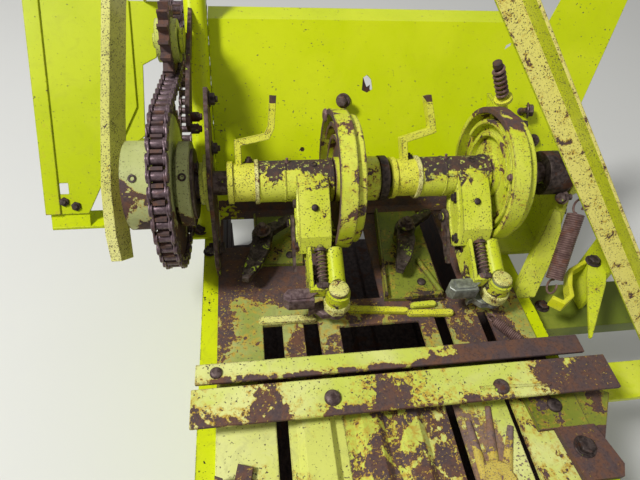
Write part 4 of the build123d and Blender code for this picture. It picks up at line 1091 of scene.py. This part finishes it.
# columns: name, finish, rows of (kind, place in millimetres from the shaft's axis, direction, size)
FASTENER_GROUPS = (
    ("plate_bolts", Finish.DARK, (
        (Fastener.NUT, (-229.8, 72, 92), RIGHT, 8.5), (Fastener.NUT, (-229.8, 24, -28), RIGHT, 8.5),
        (Fastener.NUT, (-229.8, 34, 36), RIGHT, 8.0), (Fastener.HEX, (-236.2, 34, -10), LEFT, 8.0),
        (Fastener.HEX, (-229.8, -40, -96), RIGHT, 9.0), (Fastener.NUT, (-236.2, -40, -96), LEFT, 9.0),
        (Fastener.HEX, (-248.2, 0, 31), LEFT, 6.5), (Fastener.HEX, (-248.2, 0, -31), LEFT, 6.5))),
    ("angle_bolts", Finish.SHAFT, (
        (Fastener.DOME, (-90, -291, -99.9), UP, 10.5), (Fastener.DOME, (129, -297, -99.9), UP, 10.5),
        (Fastener.DOME, (-232, -245, -99.9), UP, 8.0))),
    ("guard_bolts", Finish.DARK, (
        (Fastener.NUT, (-488, 99.6, -118.6), HOOD_OUT, 8.0),
        (Fastener.NUT, (-470, 94.5, -124.8), HOOD_OUT, 8.0))),
    ("deck_bolts", Finish.DARK, (
        (Fastener.HEX, (-265, 40, -139.8), UP, 9.0), (Fastener.NUT, (-250, -4, -145.8), UP, 8.0),
        (Fastener.DOME, (210, -315, -133.9), UP, 10.0), (Fastener.HEX, (222, -372, -129.9), UP, 10.5),
        (Fastener.HEX, (-189, -400, -134.7), UP, 8.5), (Fastener.DOME, (-150, 30, -133.9), UP, 8.0),
        (Fastener.DOME, (-120, -30, -133.9), UP, 7.0), (Fastener.DOME, (96, 20, -133.9), UP, 8.0),
        (Fastener.DOME, (84, -100, -133.9), UP, 7.0))),
    ("pivot_nuts", Finish.SHAFT, tuple(
        (Fastener.NUT, (x - 136, -6, -98.2), UP, 10.5) for x in KNOTTER_X.values())),
    ("right_side_bolts", Finish.DARK, (
        (Fastener.HEX, (349, -116, -85.9), UP, 9.0), (Fastener.NUT, (332.0, 0, 31), RIGHT, 7.0),
        (Fastener.NUT, (332.0, 0, -31), RIGHT, 7.0), (Fastener.HEX, (326.2, 24, -62), RIGHT, 8.5),
        (Fastener.HEX, (326.2, -24, -62), RIGHT, 8.5), (Fastener.NUT, (370.1, -112, -110), RIGHT, 8.0),
        (Fastener.HEX, (500, -262, -204.8), UP, 9.5), (Fastener.HEX, (300, -130, -184.8), UP, 9.0))),
    ("drum_screws", Finish.DARK, (
        (Fastener.SET_SCREW, (-266, -38.6, 46.0), (0, -0.643, 0.766), 5.5),
        (Fastener.SET_SCREW, (-328, -39.9, 47.5), (0, -0.643, 0.766), 5.5))),
    ("hood_bolts", Finish.SHAFT, (
        (Fastener.DOME, (-10, 199.0, 7), HOOD_OUT, 13.0),
        (Fastener.STUD, (-10, 193.6, 11.4), (-0.5, -0.766, 0.3), 9.0),
        (Fastener.HEX, (-14, 183.0, 17), (-0.5, -0.766, 0.3), 9.5),
        (Fastener.STUD, (325, 184.5, -10), HOOD_OUT, 9.0),
        (Fastener.HEX, (329, 174, -1), (0.9, -0.35, 0.25), 11.0),
        (Fastener.NUT, (352, 150.6, -51), HOOD_OUT, 9.0))),
    ("spring_anchor", Finish.SHAFT, (
        (Fastener.STUD, (321, -34, -22), LEFT, 6.5), (Fastener.HEX, (307, -34, -22), (-1, -0.5, 0.4), 8.5))),
    ("latch_rollers", Finish.SPRING, (
        (Fastener.HEX, (-247, 52, 57), RIGHT, 5.0), (Fastener.HEX, (-247, 74, 62), RIGHT, 5.0))),
)

KNOTTER_FASTENERS = (
    (Fastener.HEX, (-86.1, -40, -8), LEFT, 6.5), (Fastener.HEX, (-86.1, -82, -52), LEFT, 6.0),
    (Fastener.NUT, (-56.0, -112, -84), RIGHT, 6.5), (Fastener.HEX, (-94.2, -38, -50), LEFT, 6.0),
    (Fastener.DOME, (-64, -62, 4), (0, -0.6, 0.8), 5.0), (Fastener.NUT, (-152, 17, 22.5), (0, 0.6, 0.8), 6.0),
    (Fastener.SET_SCREW, (-60, 0, 30), UP, 5.0),
)


@dataclass
class Fasteners:
    """Bolts, nuts and nipples, in groups that each ride one body."""

    def group(self, rows: Sequence[tuple]) -> Surface:
        """Join fasteners, each turned about its own axis by its place along X, so that no two stand alike.

        Args:
            rows: Kind, place in millimetres, direction and size in millimetres of each.

        Returns:
            All of them as one shape.
        """
        return joined(kind.shape(size * MM).moved(at(*spot), way, spot[0]) for kind, spot, way, size in rows)

    def build(self, yard: Yard) -> None:
        """Make every group.

        Args:
            yard: Takes the finished pieces.
        """
        for name, finish, rows in FASTENER_GROUPS:
            yard.hand_over(self.group(rows), name, finish, "frame")
        for side, datum in KNOTTER_X.items():
            rows = [(kind, (datum + x, y, z), way, size) for kind, (x, y, z), way, size in KNOTTER_FASTENERS]
            body = f"knotter_{side}"
            yard.hand_over(self.group(rows), f"knotter_bolts_{side}", Finish.DARK, body)
            nipple = self.group([(Fastener.NIPPLE, (datum - 98, 7, 29), (0, 0.2, 1), 3.4)])
            yard.hand_over(nipple, f"grease_nipple_{side}", Finish.SPRING, body)


# Chain and springs


@dataclass
class DriveChain:
    """Roller chain round the knotter sprocket, under the idler and round the driver."""

    pitch: float = 20.0
    links: int = 60
    half: float = 8.0
    plate_t: float = 2.4
    plate_r: float = 8.5
    waist: float = 3.4
    centre_x: float = -287.0
    roller: Profile = ((-8.0, 5.0), (-7.6, 5.8), (-6.8, 6.0), (0.0, 6.0), (6.8, 6.0), (7.6, 5.8), (8.0, 5.0))
    rivet: Profile = ((-13.9, 1.705), (-13.5, 3.1), (-12.3, 3.1), (12.3, 3.1), (13.5, 3.1), (13.9, 1.705))
    circles: tuple[tuple[float, float, float, int], ...] = (
        (0.0, 0.0, 35, 1), (175.0, 125.0, 15, -1), (317.66, 52.0, 19, 1))

    def route(self) -> np.ndarray:
        """Dense points of the loop: an arc on each circle, then the common tangent to the next.

        A circle's radius is the pitch over twice the sine of half a tooth's angle. The tangent of two
        circles leaves their line of centres by the arcsine of the radii's difference over the gap.

        Returns:
            Points y + iz as complex numbers.
        """
        spots = [complex(y, z) for y, z, _, _ in self.circles]
        radii = [side * self.pitch / (2 * math.sin(math.pi / teeth)) for _, _, teeth, side in self.circles]
        ties = []
        for i, spot in enumerate(spots):
            gap = spots[(i + 1) % 3] - spot
            lean = math.asin((radii[i] - radii[(i + 1) % 3]) / abs(gap))
            normal = gap / abs(gap) * np.exp(1j * (math.pi / 2 - lean))
            ties.append((spot + radii[i] * normal, spots[(i + 1) % 3] + radii[(i + 1) % 3] * normal))
        runs = []
        for i, spot in enumerate(spots):
            first, last = np.angle(ties[i - 1][1] - spot), np.angle(ties[i][0] - spot)
            turn = (first - last) % (2 * np.pi) if radii[i] > 0 else -((last - first) % (2 * np.pi))
            runs.append(spot + abs(radii[i]) * np.exp(1j * (first - np.linspace(0, 1, 4000) * turn)))
            runs.append(ties[i][0] + np.linspace(0, 1, 4000) * (ties[i][1] - ties[i][0]))
        return np.concatenate(runs)

    def pins(self) -> np.ndarray:
        """Pin centres (y, z): the first is the route's start and each lies one pitch from the last.

        Returns:
            Array of shape (links, 2).
        """
        route = self.route()
        route = np.concatenate([route, route[:6000]])
        found = [0]
        for _ in range(self.links - 1):
            ahead = np.abs(route[found[-1]:found[-1] + 12000] - route[found[-1]])
            found.append(found[-1] + int(np.argmax(ahead >= self.pitch)))
        spots = route[found]
        return np.column_stack([spots.real, spots.imag])

    def plate(self) -> Surface:
        """Waisted plate in the XY plane from one pin to the next.

        The half height is the end circle's past each pin and, between the pins, the end radius less the
        waist times the square of the sine of pi times the share of the pitch.

        Returns:
            The plate.
        """
        u = np.linspace(0, np.pi, 15)[1:-1]
        x = self.pitch / 2 - (self.pitch / 2 + self.plate_r) * np.cos(u)
        past = np.maximum(np.maximum(-x, x - self.pitch), 0.0)
        between = self.plate_r - self.waist * np.sin(np.pi * np.clip(x / self.pitch, 0, 1)) ** 2
        high = np.where(past > 0, np.sqrt(np.maximum(self.plate_r ** 2 - past ** 2, 0.0)), between)
        outline = np.concatenate([np.column_stack([x, -high]), [[self.pitch + self.plate_r, 0]],
                                  np.column_stack([x, high])[::-1], [[-self.plate_r, 0]]])
        return slab(outline, 0.0, self.plate_t, 0.5)

    def build(self, yard: Yard) -> None:
        """Carry one plate, roller and rivet to every link at once.

        Args:
            yard: Takes the finished pieces.
        """
        pins = self.pins()
        step = np.roll(pins, -1, axis=0) - pins
        step /= np.linalg.norm(step, axis=1, keepdims=True)
        zero = np.zeros(len(pins))
        along = np.column_stack([zero, step])
        across = np.column_stack([zero, -step[:, 1], step[:, 0]])
        side = np.tile([1.0, 0.0, 0.0], (len(pins), 1))
        axes = np.stack([along, across, side], axis=1)
        spots = np.column_stack([np.full(len(pins), self.centre_x), pins])
        near = self.half + (np.arange(len(pins)) % 2) * self.plate_t
        plate = self.plate()
        shift = np.column_stack([near, zero, zero])
        right = plate.copies(axes, spots + shift)
        left = plate.copies(axes, spots - shift - np.array([self.plate_t, 0, 0]))
        roller = lathe(self.roller, 14).copies(axes, spots)
        pin = lathe(self.rivet, 10).copies(axes, spots)
        chain = right.join(left, roller, pin).in_mm()
        yard.hand_over(chain, "drive_chain_links", Finish.CHAIN, "frame", ("drive_chain",))


@dataclass(frozen=True)
class Coil:
    """Coil spring between two places."""

    low: Point
    high: Point
    outer: float
    wire: float
    turns: float
    hooks: bool = False

    def build(self) -> Surface:
        """Tube along a helix, with a half loop at each end of a hooked spring.

        The helix is the axis plus the coil's radius times the cosine and sine of the turn.

        Returns:
            The spring.
        """
        low, high = at(*self.low), at(*self.high)
        run = high - low
        first, second, way = frame_of(run)
        radius = (self.outer - self.wire) * MM
        share = np.linspace(0, 1, int(self.turns * 14))
        angle = 2 * np.pi * self.turns * share
        round_axis = np.cos(angle)[:, None] * first + np.sin(angle)[:, None] * second
        path = low + share[:, None] * run + radius * round_axis
        made = tube(path, self.wire * MM, 8, way)
        if self.hooks:
            for end, sign in ((low, -1), (high, 1)):
                a = np.linspace(-0.5, 1.15, 18) * np.pi
                off = sign * (1.1 + np.sin(a))[:, None] * way + np.cos(a)[:, None] * first
                loop = end + radius * off
                made = made.join(tube(loop, self.wire * MM, 8, second))
        return made


@dataclass
class Springs:
    """Coil springs of the right side and the deck."""

    table: tuple[tuple[str, Coil], ...] = (
        ("return_spring", Coil((286, -130, -106), (319, -64, -30), 13.0, 1.75, 31, True)),
        ("latch_spring", Coil((178, -182, -131.7), (202, -218, -131.7), 8.0, 1.3, 16, True)),
    )

    def build(self, yard: Yard) -> None:
        """Make each spring in place of its node."""
        for node, coil in self.table:
            yard.hand_over(coil.build(), node + "_coil", Finish.SPRING, "frame", (node,))


@dataclass
class BrakeRod:
    """Spring-loaded rod behind the right cam wheel: rod, flange, fat coils, eye and cross bolt.

    The stem's profile is measured from its lower end, the tip's from its upper end.
    """

    low: Point = (272, 128, 0)
    high: Point = (204, 118, 124)
    stem: Profile = ((0, 5), (58, 5), (58.4, 8), (61, 8), (61.4, 15), (66.4, 15), (67, 9), (69, 9), (69.4, 5))
    tip: Profile = ((-10, 5), (-9.5, 7.6), (-2, 7.2), (0, 4.5))
    eye: Profile = ((-6, 7), (-6, 11), (-5, 12), (5, 12), (6, 11), (6, 7))
    bolt: Profile = ((-7, 4), (-7, 7), (14, 7), (14, 9), (34, 9), (35, 8))
    coil_from: float = 72.0
    coil_to: float = -12.0
    coil_sizes: tuple[float, float, float] = (10.8, 2.9, 6)

    def build(self, yard: Yard) -> None:
        """Make the rod and its flange as one lathe, the coils as a helix and the eye as a ring.

        Args:
            yard: Takes the finished pieces.
        """
        low = np.array(self.low, float)
        run = np.array(self.high) - low
        length = float(np.linalg.norm(run))
        rod = lathe(self.stem + tuple((length + z, r) for z, r in self.tip), 28).in_mm(low, run, 0.0)
        yard.hand_over(rod, "brake_rod_stem", Finish.LEVER, replaces=("brake_rod",))
        start, end = (low + run / length * s for s in (self.coil_from, length + self.coil_to))
        coil = Coil(tuple(start), tuple(end), *self.coil_sizes).build()
        yard.hand_over(coil, "brake_rod_coil", Finish.SPRING, "frame")
        eye = lathe(self.eye, 24).join(lathe(self.bolt, 6)).in_mm(low, RIGHT, 0.0)
        yard.hand_over(eye, "brake_rod_eye", Finish.DARK, "frame")


# Knotters, deck and guards


@dataclass
class KnotterDetail:
    """What the castings carry: beads and rim of the sleeve, tension screw, collar, cap, clamp and ribs."""

    sleeve_end: float = -144.0
    sleeve_r: float = 30.0
    bead_rows: tuple[Point, ...] = ((-144.0, 7.0, 1.8), (-39.0, 8.0, 2.2), (-104.0, 5.0, 1.0))
    rim: Profile = ((-0.6, 24), (-0.6, 31.6), (0.2, 32.4), (4.6, 32.4), (5.4, 31.6), (5.4, 28))
    screw_from: Point = (-58.0, -88.0, -38.5)
    screw_to: Point = (-58.0, -148.0, -70.0)
    thread: tuple[float, float, float] = (1.6, 5.1, 5.9)
    nut: Profile = ((-9, 6), (-9, 9.2), (-8.4, 9.6), (-2, 9.6), (-1, 8.6), (-1, 6))
    cup: Profile = ((10, 5), (10, 8.4), (12.5, 9), (14, 9), (14, 5))
    spring_span: tuple[float, float] = (0.24, 0.80)
    spring_sizes: tuple[float, float, float] = (7.4, 1.25, 7)
    nose: Point = (-38.0, -155.0, -104.0)
    collar: Profile = ((0, 12), (0, 18.4), (1.4, 19.6), (15, 19.6), (17, 18.2), (18, 16.6))
    collar_z: float = 0.6
    button: Profile = ((0, 4), (0, 13.4), (1.0, 14.0), (2.4, 14.0), (3.6, 12.6), (4.2, 9), (4.4, 3))
    button_z: float = 41.3
    block: Profile = (
        (-113, -157), (-106.6, -163), (-71.4, -163), (-71.4, -141.4), (-106.6, -141.4), (-113, -149))
    leaf: Profile = ((-104, -160), (-78, -160), (-66, -152), (-66, -146), (-104, -146))
    rib_lines: tuple[Profile, ...] = (
        ((-30, 10), (-66, -18), (-88, -48)), ((-12, -18), (-46, -48), (-76, -66)))
    rib_x: float = -86.0

    def beads(self, datum: float) -> Surface:
        """Raised beads round the sleeve, each a lathe about the shaft, from rows (start, width, rise).

        Args:
            datum: Place of the knotter along X.

        Returns:
            The beads.
        """
        made, r = [], self.sleeve_r
        for x, width, rise in self.bead_rows:
            ring = lathe([(0, r - 2), (0.8, r + rise - 0.8), (1.8, r + rise), (width - 1.8, r + rise),
                          (width - 0.8, r + rise - 0.8), (width, r - 2)], 48)
            made.append(ring.in_mm((datum + x, 0, 0), RIGHT, 0.0))
        return joined(made)

    def screw_line(self, datum: float) -> tuple[np.ndarray, np.ndarray]:
        """Both ends of the tension screw's axis, in millimetres."""
        return tuple(np.array(spot) + (datum, 0, 0) for spot in (self.screw_from, self.screw_to))

    def screw(self, datum: float) -> Surface:
        """Threaded rod: a lathe whose radius swings between root and crest once a thread.

        The nut's profile is measured from the rod's end, the spring cup's from its start.

        Args:
            datum: Place of the knotter along X.

        Returns:
            Rod, nut and cup.
        """
        low, high = self.screw_line(datum)
        length = float(np.linalg.norm(high - low))
        pitch, root, crest = self.thread
        count = int(length / pitch)
        height = np.repeat(np.linspace(0, length, count), 2) + np.tile([0.0, pitch / 4], count)
        rod = lathe(zip(height, np.tile([root, crest], count)), 16)
        nut = lathe([(length + z, r) for z, r in self.nut], 6)
        return rod.join(nut, lathe(self.cup, 20)).in_mm(low, high - low, 0.3)

    def spring(self, datum: float) -> Surface:
        """Short coil over the threaded rod.

        Args:
            datum: Place of the knotter along X.

        Returns:
            The coil.
        """
        low, high = self.screw_line(datum)
        start, end = (low + share * (high - low) for share in self.spring_span)
        return Coil(tuple(start), tuple(end), *self.spring_sizes).build()

    def boss(self, datum: float, sides: int) -> Surface:
        """Worn collar round the foot of the nose, many-sided where a spanner fits it."""
        x, y, z = self.nose
        return lathe(self.collar, sides).in_mm((datum + x, y, z + self.collar_z), UP, 0.4)

    def cap(self, datum: float) -> Surface:
        """Worn round cap on top of the bill hook's spindle."""
        x, y, z = self.nose
        return lathe(self.button, 28).in_mm((datum + x, y, z + self.button_z), UP, 0.0)

    def strip(self, datum: float) -> Surface:
        """Rim of worn paint round the sleeve's left end."""
        return lathe(self.rim, 48).in_mm((datum + self.sleeve_end, 0, 0), RIGHT, 0.0)

    def clamp(self, datum: float) -> Surface:
        """Machined twine clamp block with one end cut to a wedge, and its spring leaf."""
        block = slab(self.block, -94.6, -73.4, 0.9)
        return block.join(slab(self.leaf, -73.4, -71.2, 0.5)).in_mm((datum, 0, 0))

    def ribs(self, datum: float) -> Surface:
        """Two cast ribs down the arm's left face, each a bar whose height rises and falls as a sine.

        Args:
            datum: Place of the knotter along X.

        Returns:
            The ribs.
        """
        made = []
        for line in self.rib_lines:
            path = np.array([(datum + self.rib_x, y, z) for y, z in line])
            share = np.linspace(0, 2, 25)
            low = np.minimum(share.astype(int), 1)
            spots = path[low] + (share - low)[:, None] * (path[low + 1] - path[low])
            made.append(tube(spots, 1.4 + 1.9 * np.sin(np.pi * share / 2), 8, RIGHT))
        return joined(made).in_mm()

    def build(self, yard: Yard) -> None:
        """Dress both knotters: the left one's collar is eight-sided and its clamp browner.

        Args:
            yard: Takes the finished pieces.
        """
        for side, sides, metal in (("left", 8, Finish.MAUVE), ("right", 20, Finish.WORN)):
            datum, body, hook = KNOTTER_X[side], f"knotter_{side}", f"bill_hook_{side}_body"
            for name, made, finish, rider, slot in (
                    ("sleeve_beads", self.beads(datum), Finish.CAST, body, "cast_lime"),
                    ("tension_screw", self.screw(datum), Finish.SHAFT, body, "bare_steel"),
                    ("tension_spring", self.spring(datum), Finish.SPRING, body, "spring_steel"),
                    ("nose_collar", self.boss(datum, sides), Finish.BOSS, body, "cast_lime"),
                    ("clamp_block", self.clamp(datum), metal, body, "bright_steel"),
                    ("spindle_cap", self.cap(datum), Finish.BOSS, hook, "cast_lime"),
                    ("sleeve_rim", self.strip(datum), Finish.BOSS, body, "cast_lime"),
                    ("arm_ribs", self.ribs(datum), Finish.CAST, body, "cast_lime")):
                yard.hand_over(made, f"{name}_{side}", finish, rider)


@dataclass
class ShaftDetail:
    """Dark rings on the shaft, and a bolt on each cam wheel.

    A ring's row is its knotter, start, end and radius; a bolt's is its knotter, kind, place and size.
    """

    rings: tuple[tuple[str, float, float, float], ...] = (
        ("left", 37.0, 49.0, 33.6), ("left", 49.5, 52.5, 25.0), ("right", 61.0, 99.0, 34.4))
    bolts: tuple[tuple[str, Fastener, Point, float], ...] = (
        ("left", Fastener.DOME, (-36.2, 66, 67), 10.0), ("right", Fastener.HEX, (-36.2, -71, 56), 4.2))
    bore: float = 20.0

    def ring(self, start: float, end: float, radius: float) -> Surface:
        """Ring about the shaft with rounded rims, open at its bore.

        Args:
            start: Lower end along X.
            end: Upper end along X.
            radius: Outer radius.

        Returns:
            The ring.
        """
        wide = end - start
        ring = lathe([(0, self.bore), (0, radius - 0.8), (0.8, radius), (wide - 0.8, radius),
                      (wide, radius - 0.8), (wide, self.bore)], 48)
        return ring.in_mm((start, 0, 0), RIGHT, 0.0)

    def build(self, yard: Yard) -> None:
        """Make what turns with the shaft.

        Args:
            yard: Takes the finished pieces.
        """
        rings = [self.ring(KNOTTER_X[side] + x0, KNOTTER_X[side] + x1, r) for side, x0, x1, r in self.rings]
        yard.hand_over(joined(rings), "shaft_rings", Finish.DARK, "shaft")
        rows = [(kind, (KNOTTER_X[side] + x, y, z), LEFT, size) for side, kind, (x, y, z), size in self.bolts]
        yard.hand_over(Fasteners().group(rows), "wheel_bolts", Finish.SPRING, "shaft")


@dataclass
class Welds:
    """Weld beads, as tubes whose radius ripples along their run."""

    runs: tuple[tuple[Point, Point, float], ...] = (
        ((-256, -231.4, -139.2), (264, -231.4, -139.2), 2.6),
        ((-260, -262.0, -139.0), (290, -262.0, -139.0), 2.6),
        ((-279, 28, -139.4), (-279, 92, -139.4), 2.4),
        ((100, -296, -99.4), (196, -300, -99.4), 2.0),
        ((-235, 30, -139.4), (-235, 92, -139.4), 2.4),
        ((487, -296, -204), (512, -262, -204), 3.0),
    )
    ripple: float = 5.0

    def build(self, yard: Yard) -> None:
        """Make every bead: its radius swings by an eighth, once a ripple, with a slower drift.

        Args:
            yard: Takes the finished pieces.
        """
        made = []
        for low, high, radius in self.runs:
            start, end = at(*low), at(*high)
            length = float(np.linalg.norm(end - start)) / MM
            share = np.linspace(0, 1, int(length / 1.2))
            path = start + share[:, None] * (end - start)
            wave = 1 + 0.13 * np.abs(np.sin(np.pi * share * length / self.ripple))
            wave = wave + 0.12 * np.sin(share * length / 17)
            made.append(tube(path, radius * wave * MM, 10, (0.2, 0.1, 1)))
        yard.hand_over(joined(made), "weld_beads", Finish.ANGLE_REAR)


@dataclass
class DeckDetail:
    """Small plates and bars that lie on the deck, and the fan slat with its fingers."""

    base: float = -139.8
    plates: tuple[tuple[str, float, Profile], ...] = (
        ("deck_cover_left", -134.6, ((-214, -438), (-176, -438), (-174, -392), (-186, -384), (-214, -386))),
        ("deck_bracket_left", -112.0, ((-233, -436), (-224, -436), (-224, -366), (-233, -362))),
        ("deck_wedge_rear", -131.0, ((-214, -372), (-196, -380), (-190, -352), (-208, -346))),
    )
    bar_top: float = -132.6
    bars: tuple[tuple[str, Finish, Point, Point], ...] = (
        ("deck_bar_left", Finish.BOSS, (-170, -151, 6.0), (-96, -152, 5.5)),
        ("deck_bar_middle", Finish.BAR, (-38, -141, 5.5), (46, -150, 5.0)),
        ("deck_bar_right", Finish.BAR, (52, -155, 5.0), (114, -159, 5.5)),
        ("deck_bar_short", Finish.FITTING, (60, -142, 4.5), (92, -141, 5.0)),
    )
    fingers: tuple[Profile, ...] = (
        ((88, -322), (87, -392)), ((121, -306), (101, -388)), ((142, -334), (114, -392)))
    palm: Profile = (
        (82, -438), (130, -438), (125, -396), (119, -378), (104, -370), (88, -376), (81, -396))

    def bar(self, start: Point, end: Point) -> Surface:
        """Flat bar with round ends: a half circle about each end, of the radius given third.

        Args:
            start: Place (x, y) and radius of one end.
            end: The same of the other end.

        Returns:
            The bar.
        """
        run = complex(end[0] - start[0], end[1] - start[1])
        lean = np.angle(run)
        turn = np.linspace(-np.pi / 2, np.pi / 2, 9)
        outline = [complex(*spot[:2]) + spot[2] * np.exp(1j * (lean + way + turn))
                   for spot, way in ((end, 0.0), (start, np.pi))]
        rim = np.concatenate(outline)
        return slab(list(zip(rim.real, rim.imag)), self.base, self.bar_top, 1.4).in_mm()

    def fan(self) -> tuple[Surface, Surface]:
        """Slat with raised fingers that spread to the front from a raised palm.

        A finger's radius grows from 4 to 8.5 mm along it, and its axis sinks as it grows, so that its top
        keeps one height.

        Returns:
            The slat's plate, and the palm with its fingers.
        """
        (x0, y0, z0), (x1, y1, z1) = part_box("deck_slat_fan")
        low, top = ((z - SHAFT_Z) / MM for z in (z0, z1))
        corners = [(x / MM, y / MM) for x, y in ((x0, y0), (x1, y0), (x1, y1), (x0, y1))]
        plate = slab(corners, low, low + 6.0, 0.5)
        share = np.linspace(0, 1, 16)
        radius = 4.0 + 4.5 * share
        made = []
        for tip, base in self.fingers:
            flat = np.array(tip) + share[:, None] * (np.array(base) - np.array(tip))
            made.append(tube(np.column_stack([flat, top - 0.2 - radius]), radius, 12, (0, 0, 1)))
        made.append(slab(self.palm, top - 4.6, top - 0.3, 2.2))
        return plate.in_mm(), joined(made).in_mm()

    def build(self, yard: Yard) -> None:
        """Make each plate and bar with chamfered rims, and the fan slat.

        Args:
            yard: Takes the finished pieces.
        """
        plate, fingers = self.fan()
        yard.hand_over(plate, "fan_slat", Finish.FAN, replaces=("deck_slat_fan",))
        yard.hand_over(fingers, "fan_fingers", Finish.FINGERS)
        for name, finish, start, end in self.bars:
            yard.hand_over(self.bar(start, end), name, finish)
        for name, top, outline in self.plates:
            yard.hand_over(slab(outline, self.base, top, 0.8).in_mm(), name, Finish.SLAT_BARE)


@dataclass
class HoodDetail:
    """Torn flap in the hood's hole and the worn seam down its left edge."""

    foot: Point = (0.0, 76.0, -140.0)
    flap: Profile = (
        (21, 200), (38, 199), (45, 206), (38, 211), (39, 219), (33, 214), (30, 222), (27, 231), (22, 228),
        (21, 214))
    seam_x: float = -237.8
    seam_from: float = 58.0
    seam_to: float = 392.0
    seam_points: int = 160

    def build(self, yard: Yard) -> None:
        """Lay the flap in the leaning plane, and run the seam as a tube whose radius varies as two sines.

        Args:
            yard: Takes the finished pieces.
        """
        lean = np.array([RIGHT, HOOD_RISE, HOOD_OUT])
        flat = slab(self.flap, -2.4, -0.8, 0.4)
        flap = Surface(flat.points @ lean + self.foot, flat.quads, flat.tris)
        yard.hand_over(flap.in_mm(), "hood_torn_flap", Finish.DARK)
        up = np.linspace(self.seam_from, self.seam_to, self.seam_points)
        path = self.foot + np.column_stack([np.full_like(up, self.seam_x), up, np.full_like(up, -1.5)]) @ lean
        radius = 2.0 + 0.4 * np.sin(up / 5.3) + 0.3 * np.sin(up / 1.7)
        yard.hand_over(tube(path, radius, 8, RIGHT).in_mm(), "hood_seam", Finish.DARK)


def main() -> None:
    """Build the scene in order."""
    logging.basicConfig(level=logging.INFO, format="%(name)s: %(message)s")
    shop = Paintshop()
    shop.dress_nodes()
    yard = Yard(shop)
    for group in (RoundedEdges, DriveChain, Springs, BrakeRod, KnotterDetail, ShaftDetail, Fasteners, Welds,
                  DeckDetail, HoodDetail):
        group().build(yard)
    Studio().build()
    LOG.info("%d pieces handed over", yard.count)


if __name__ == "__main__":
    main()
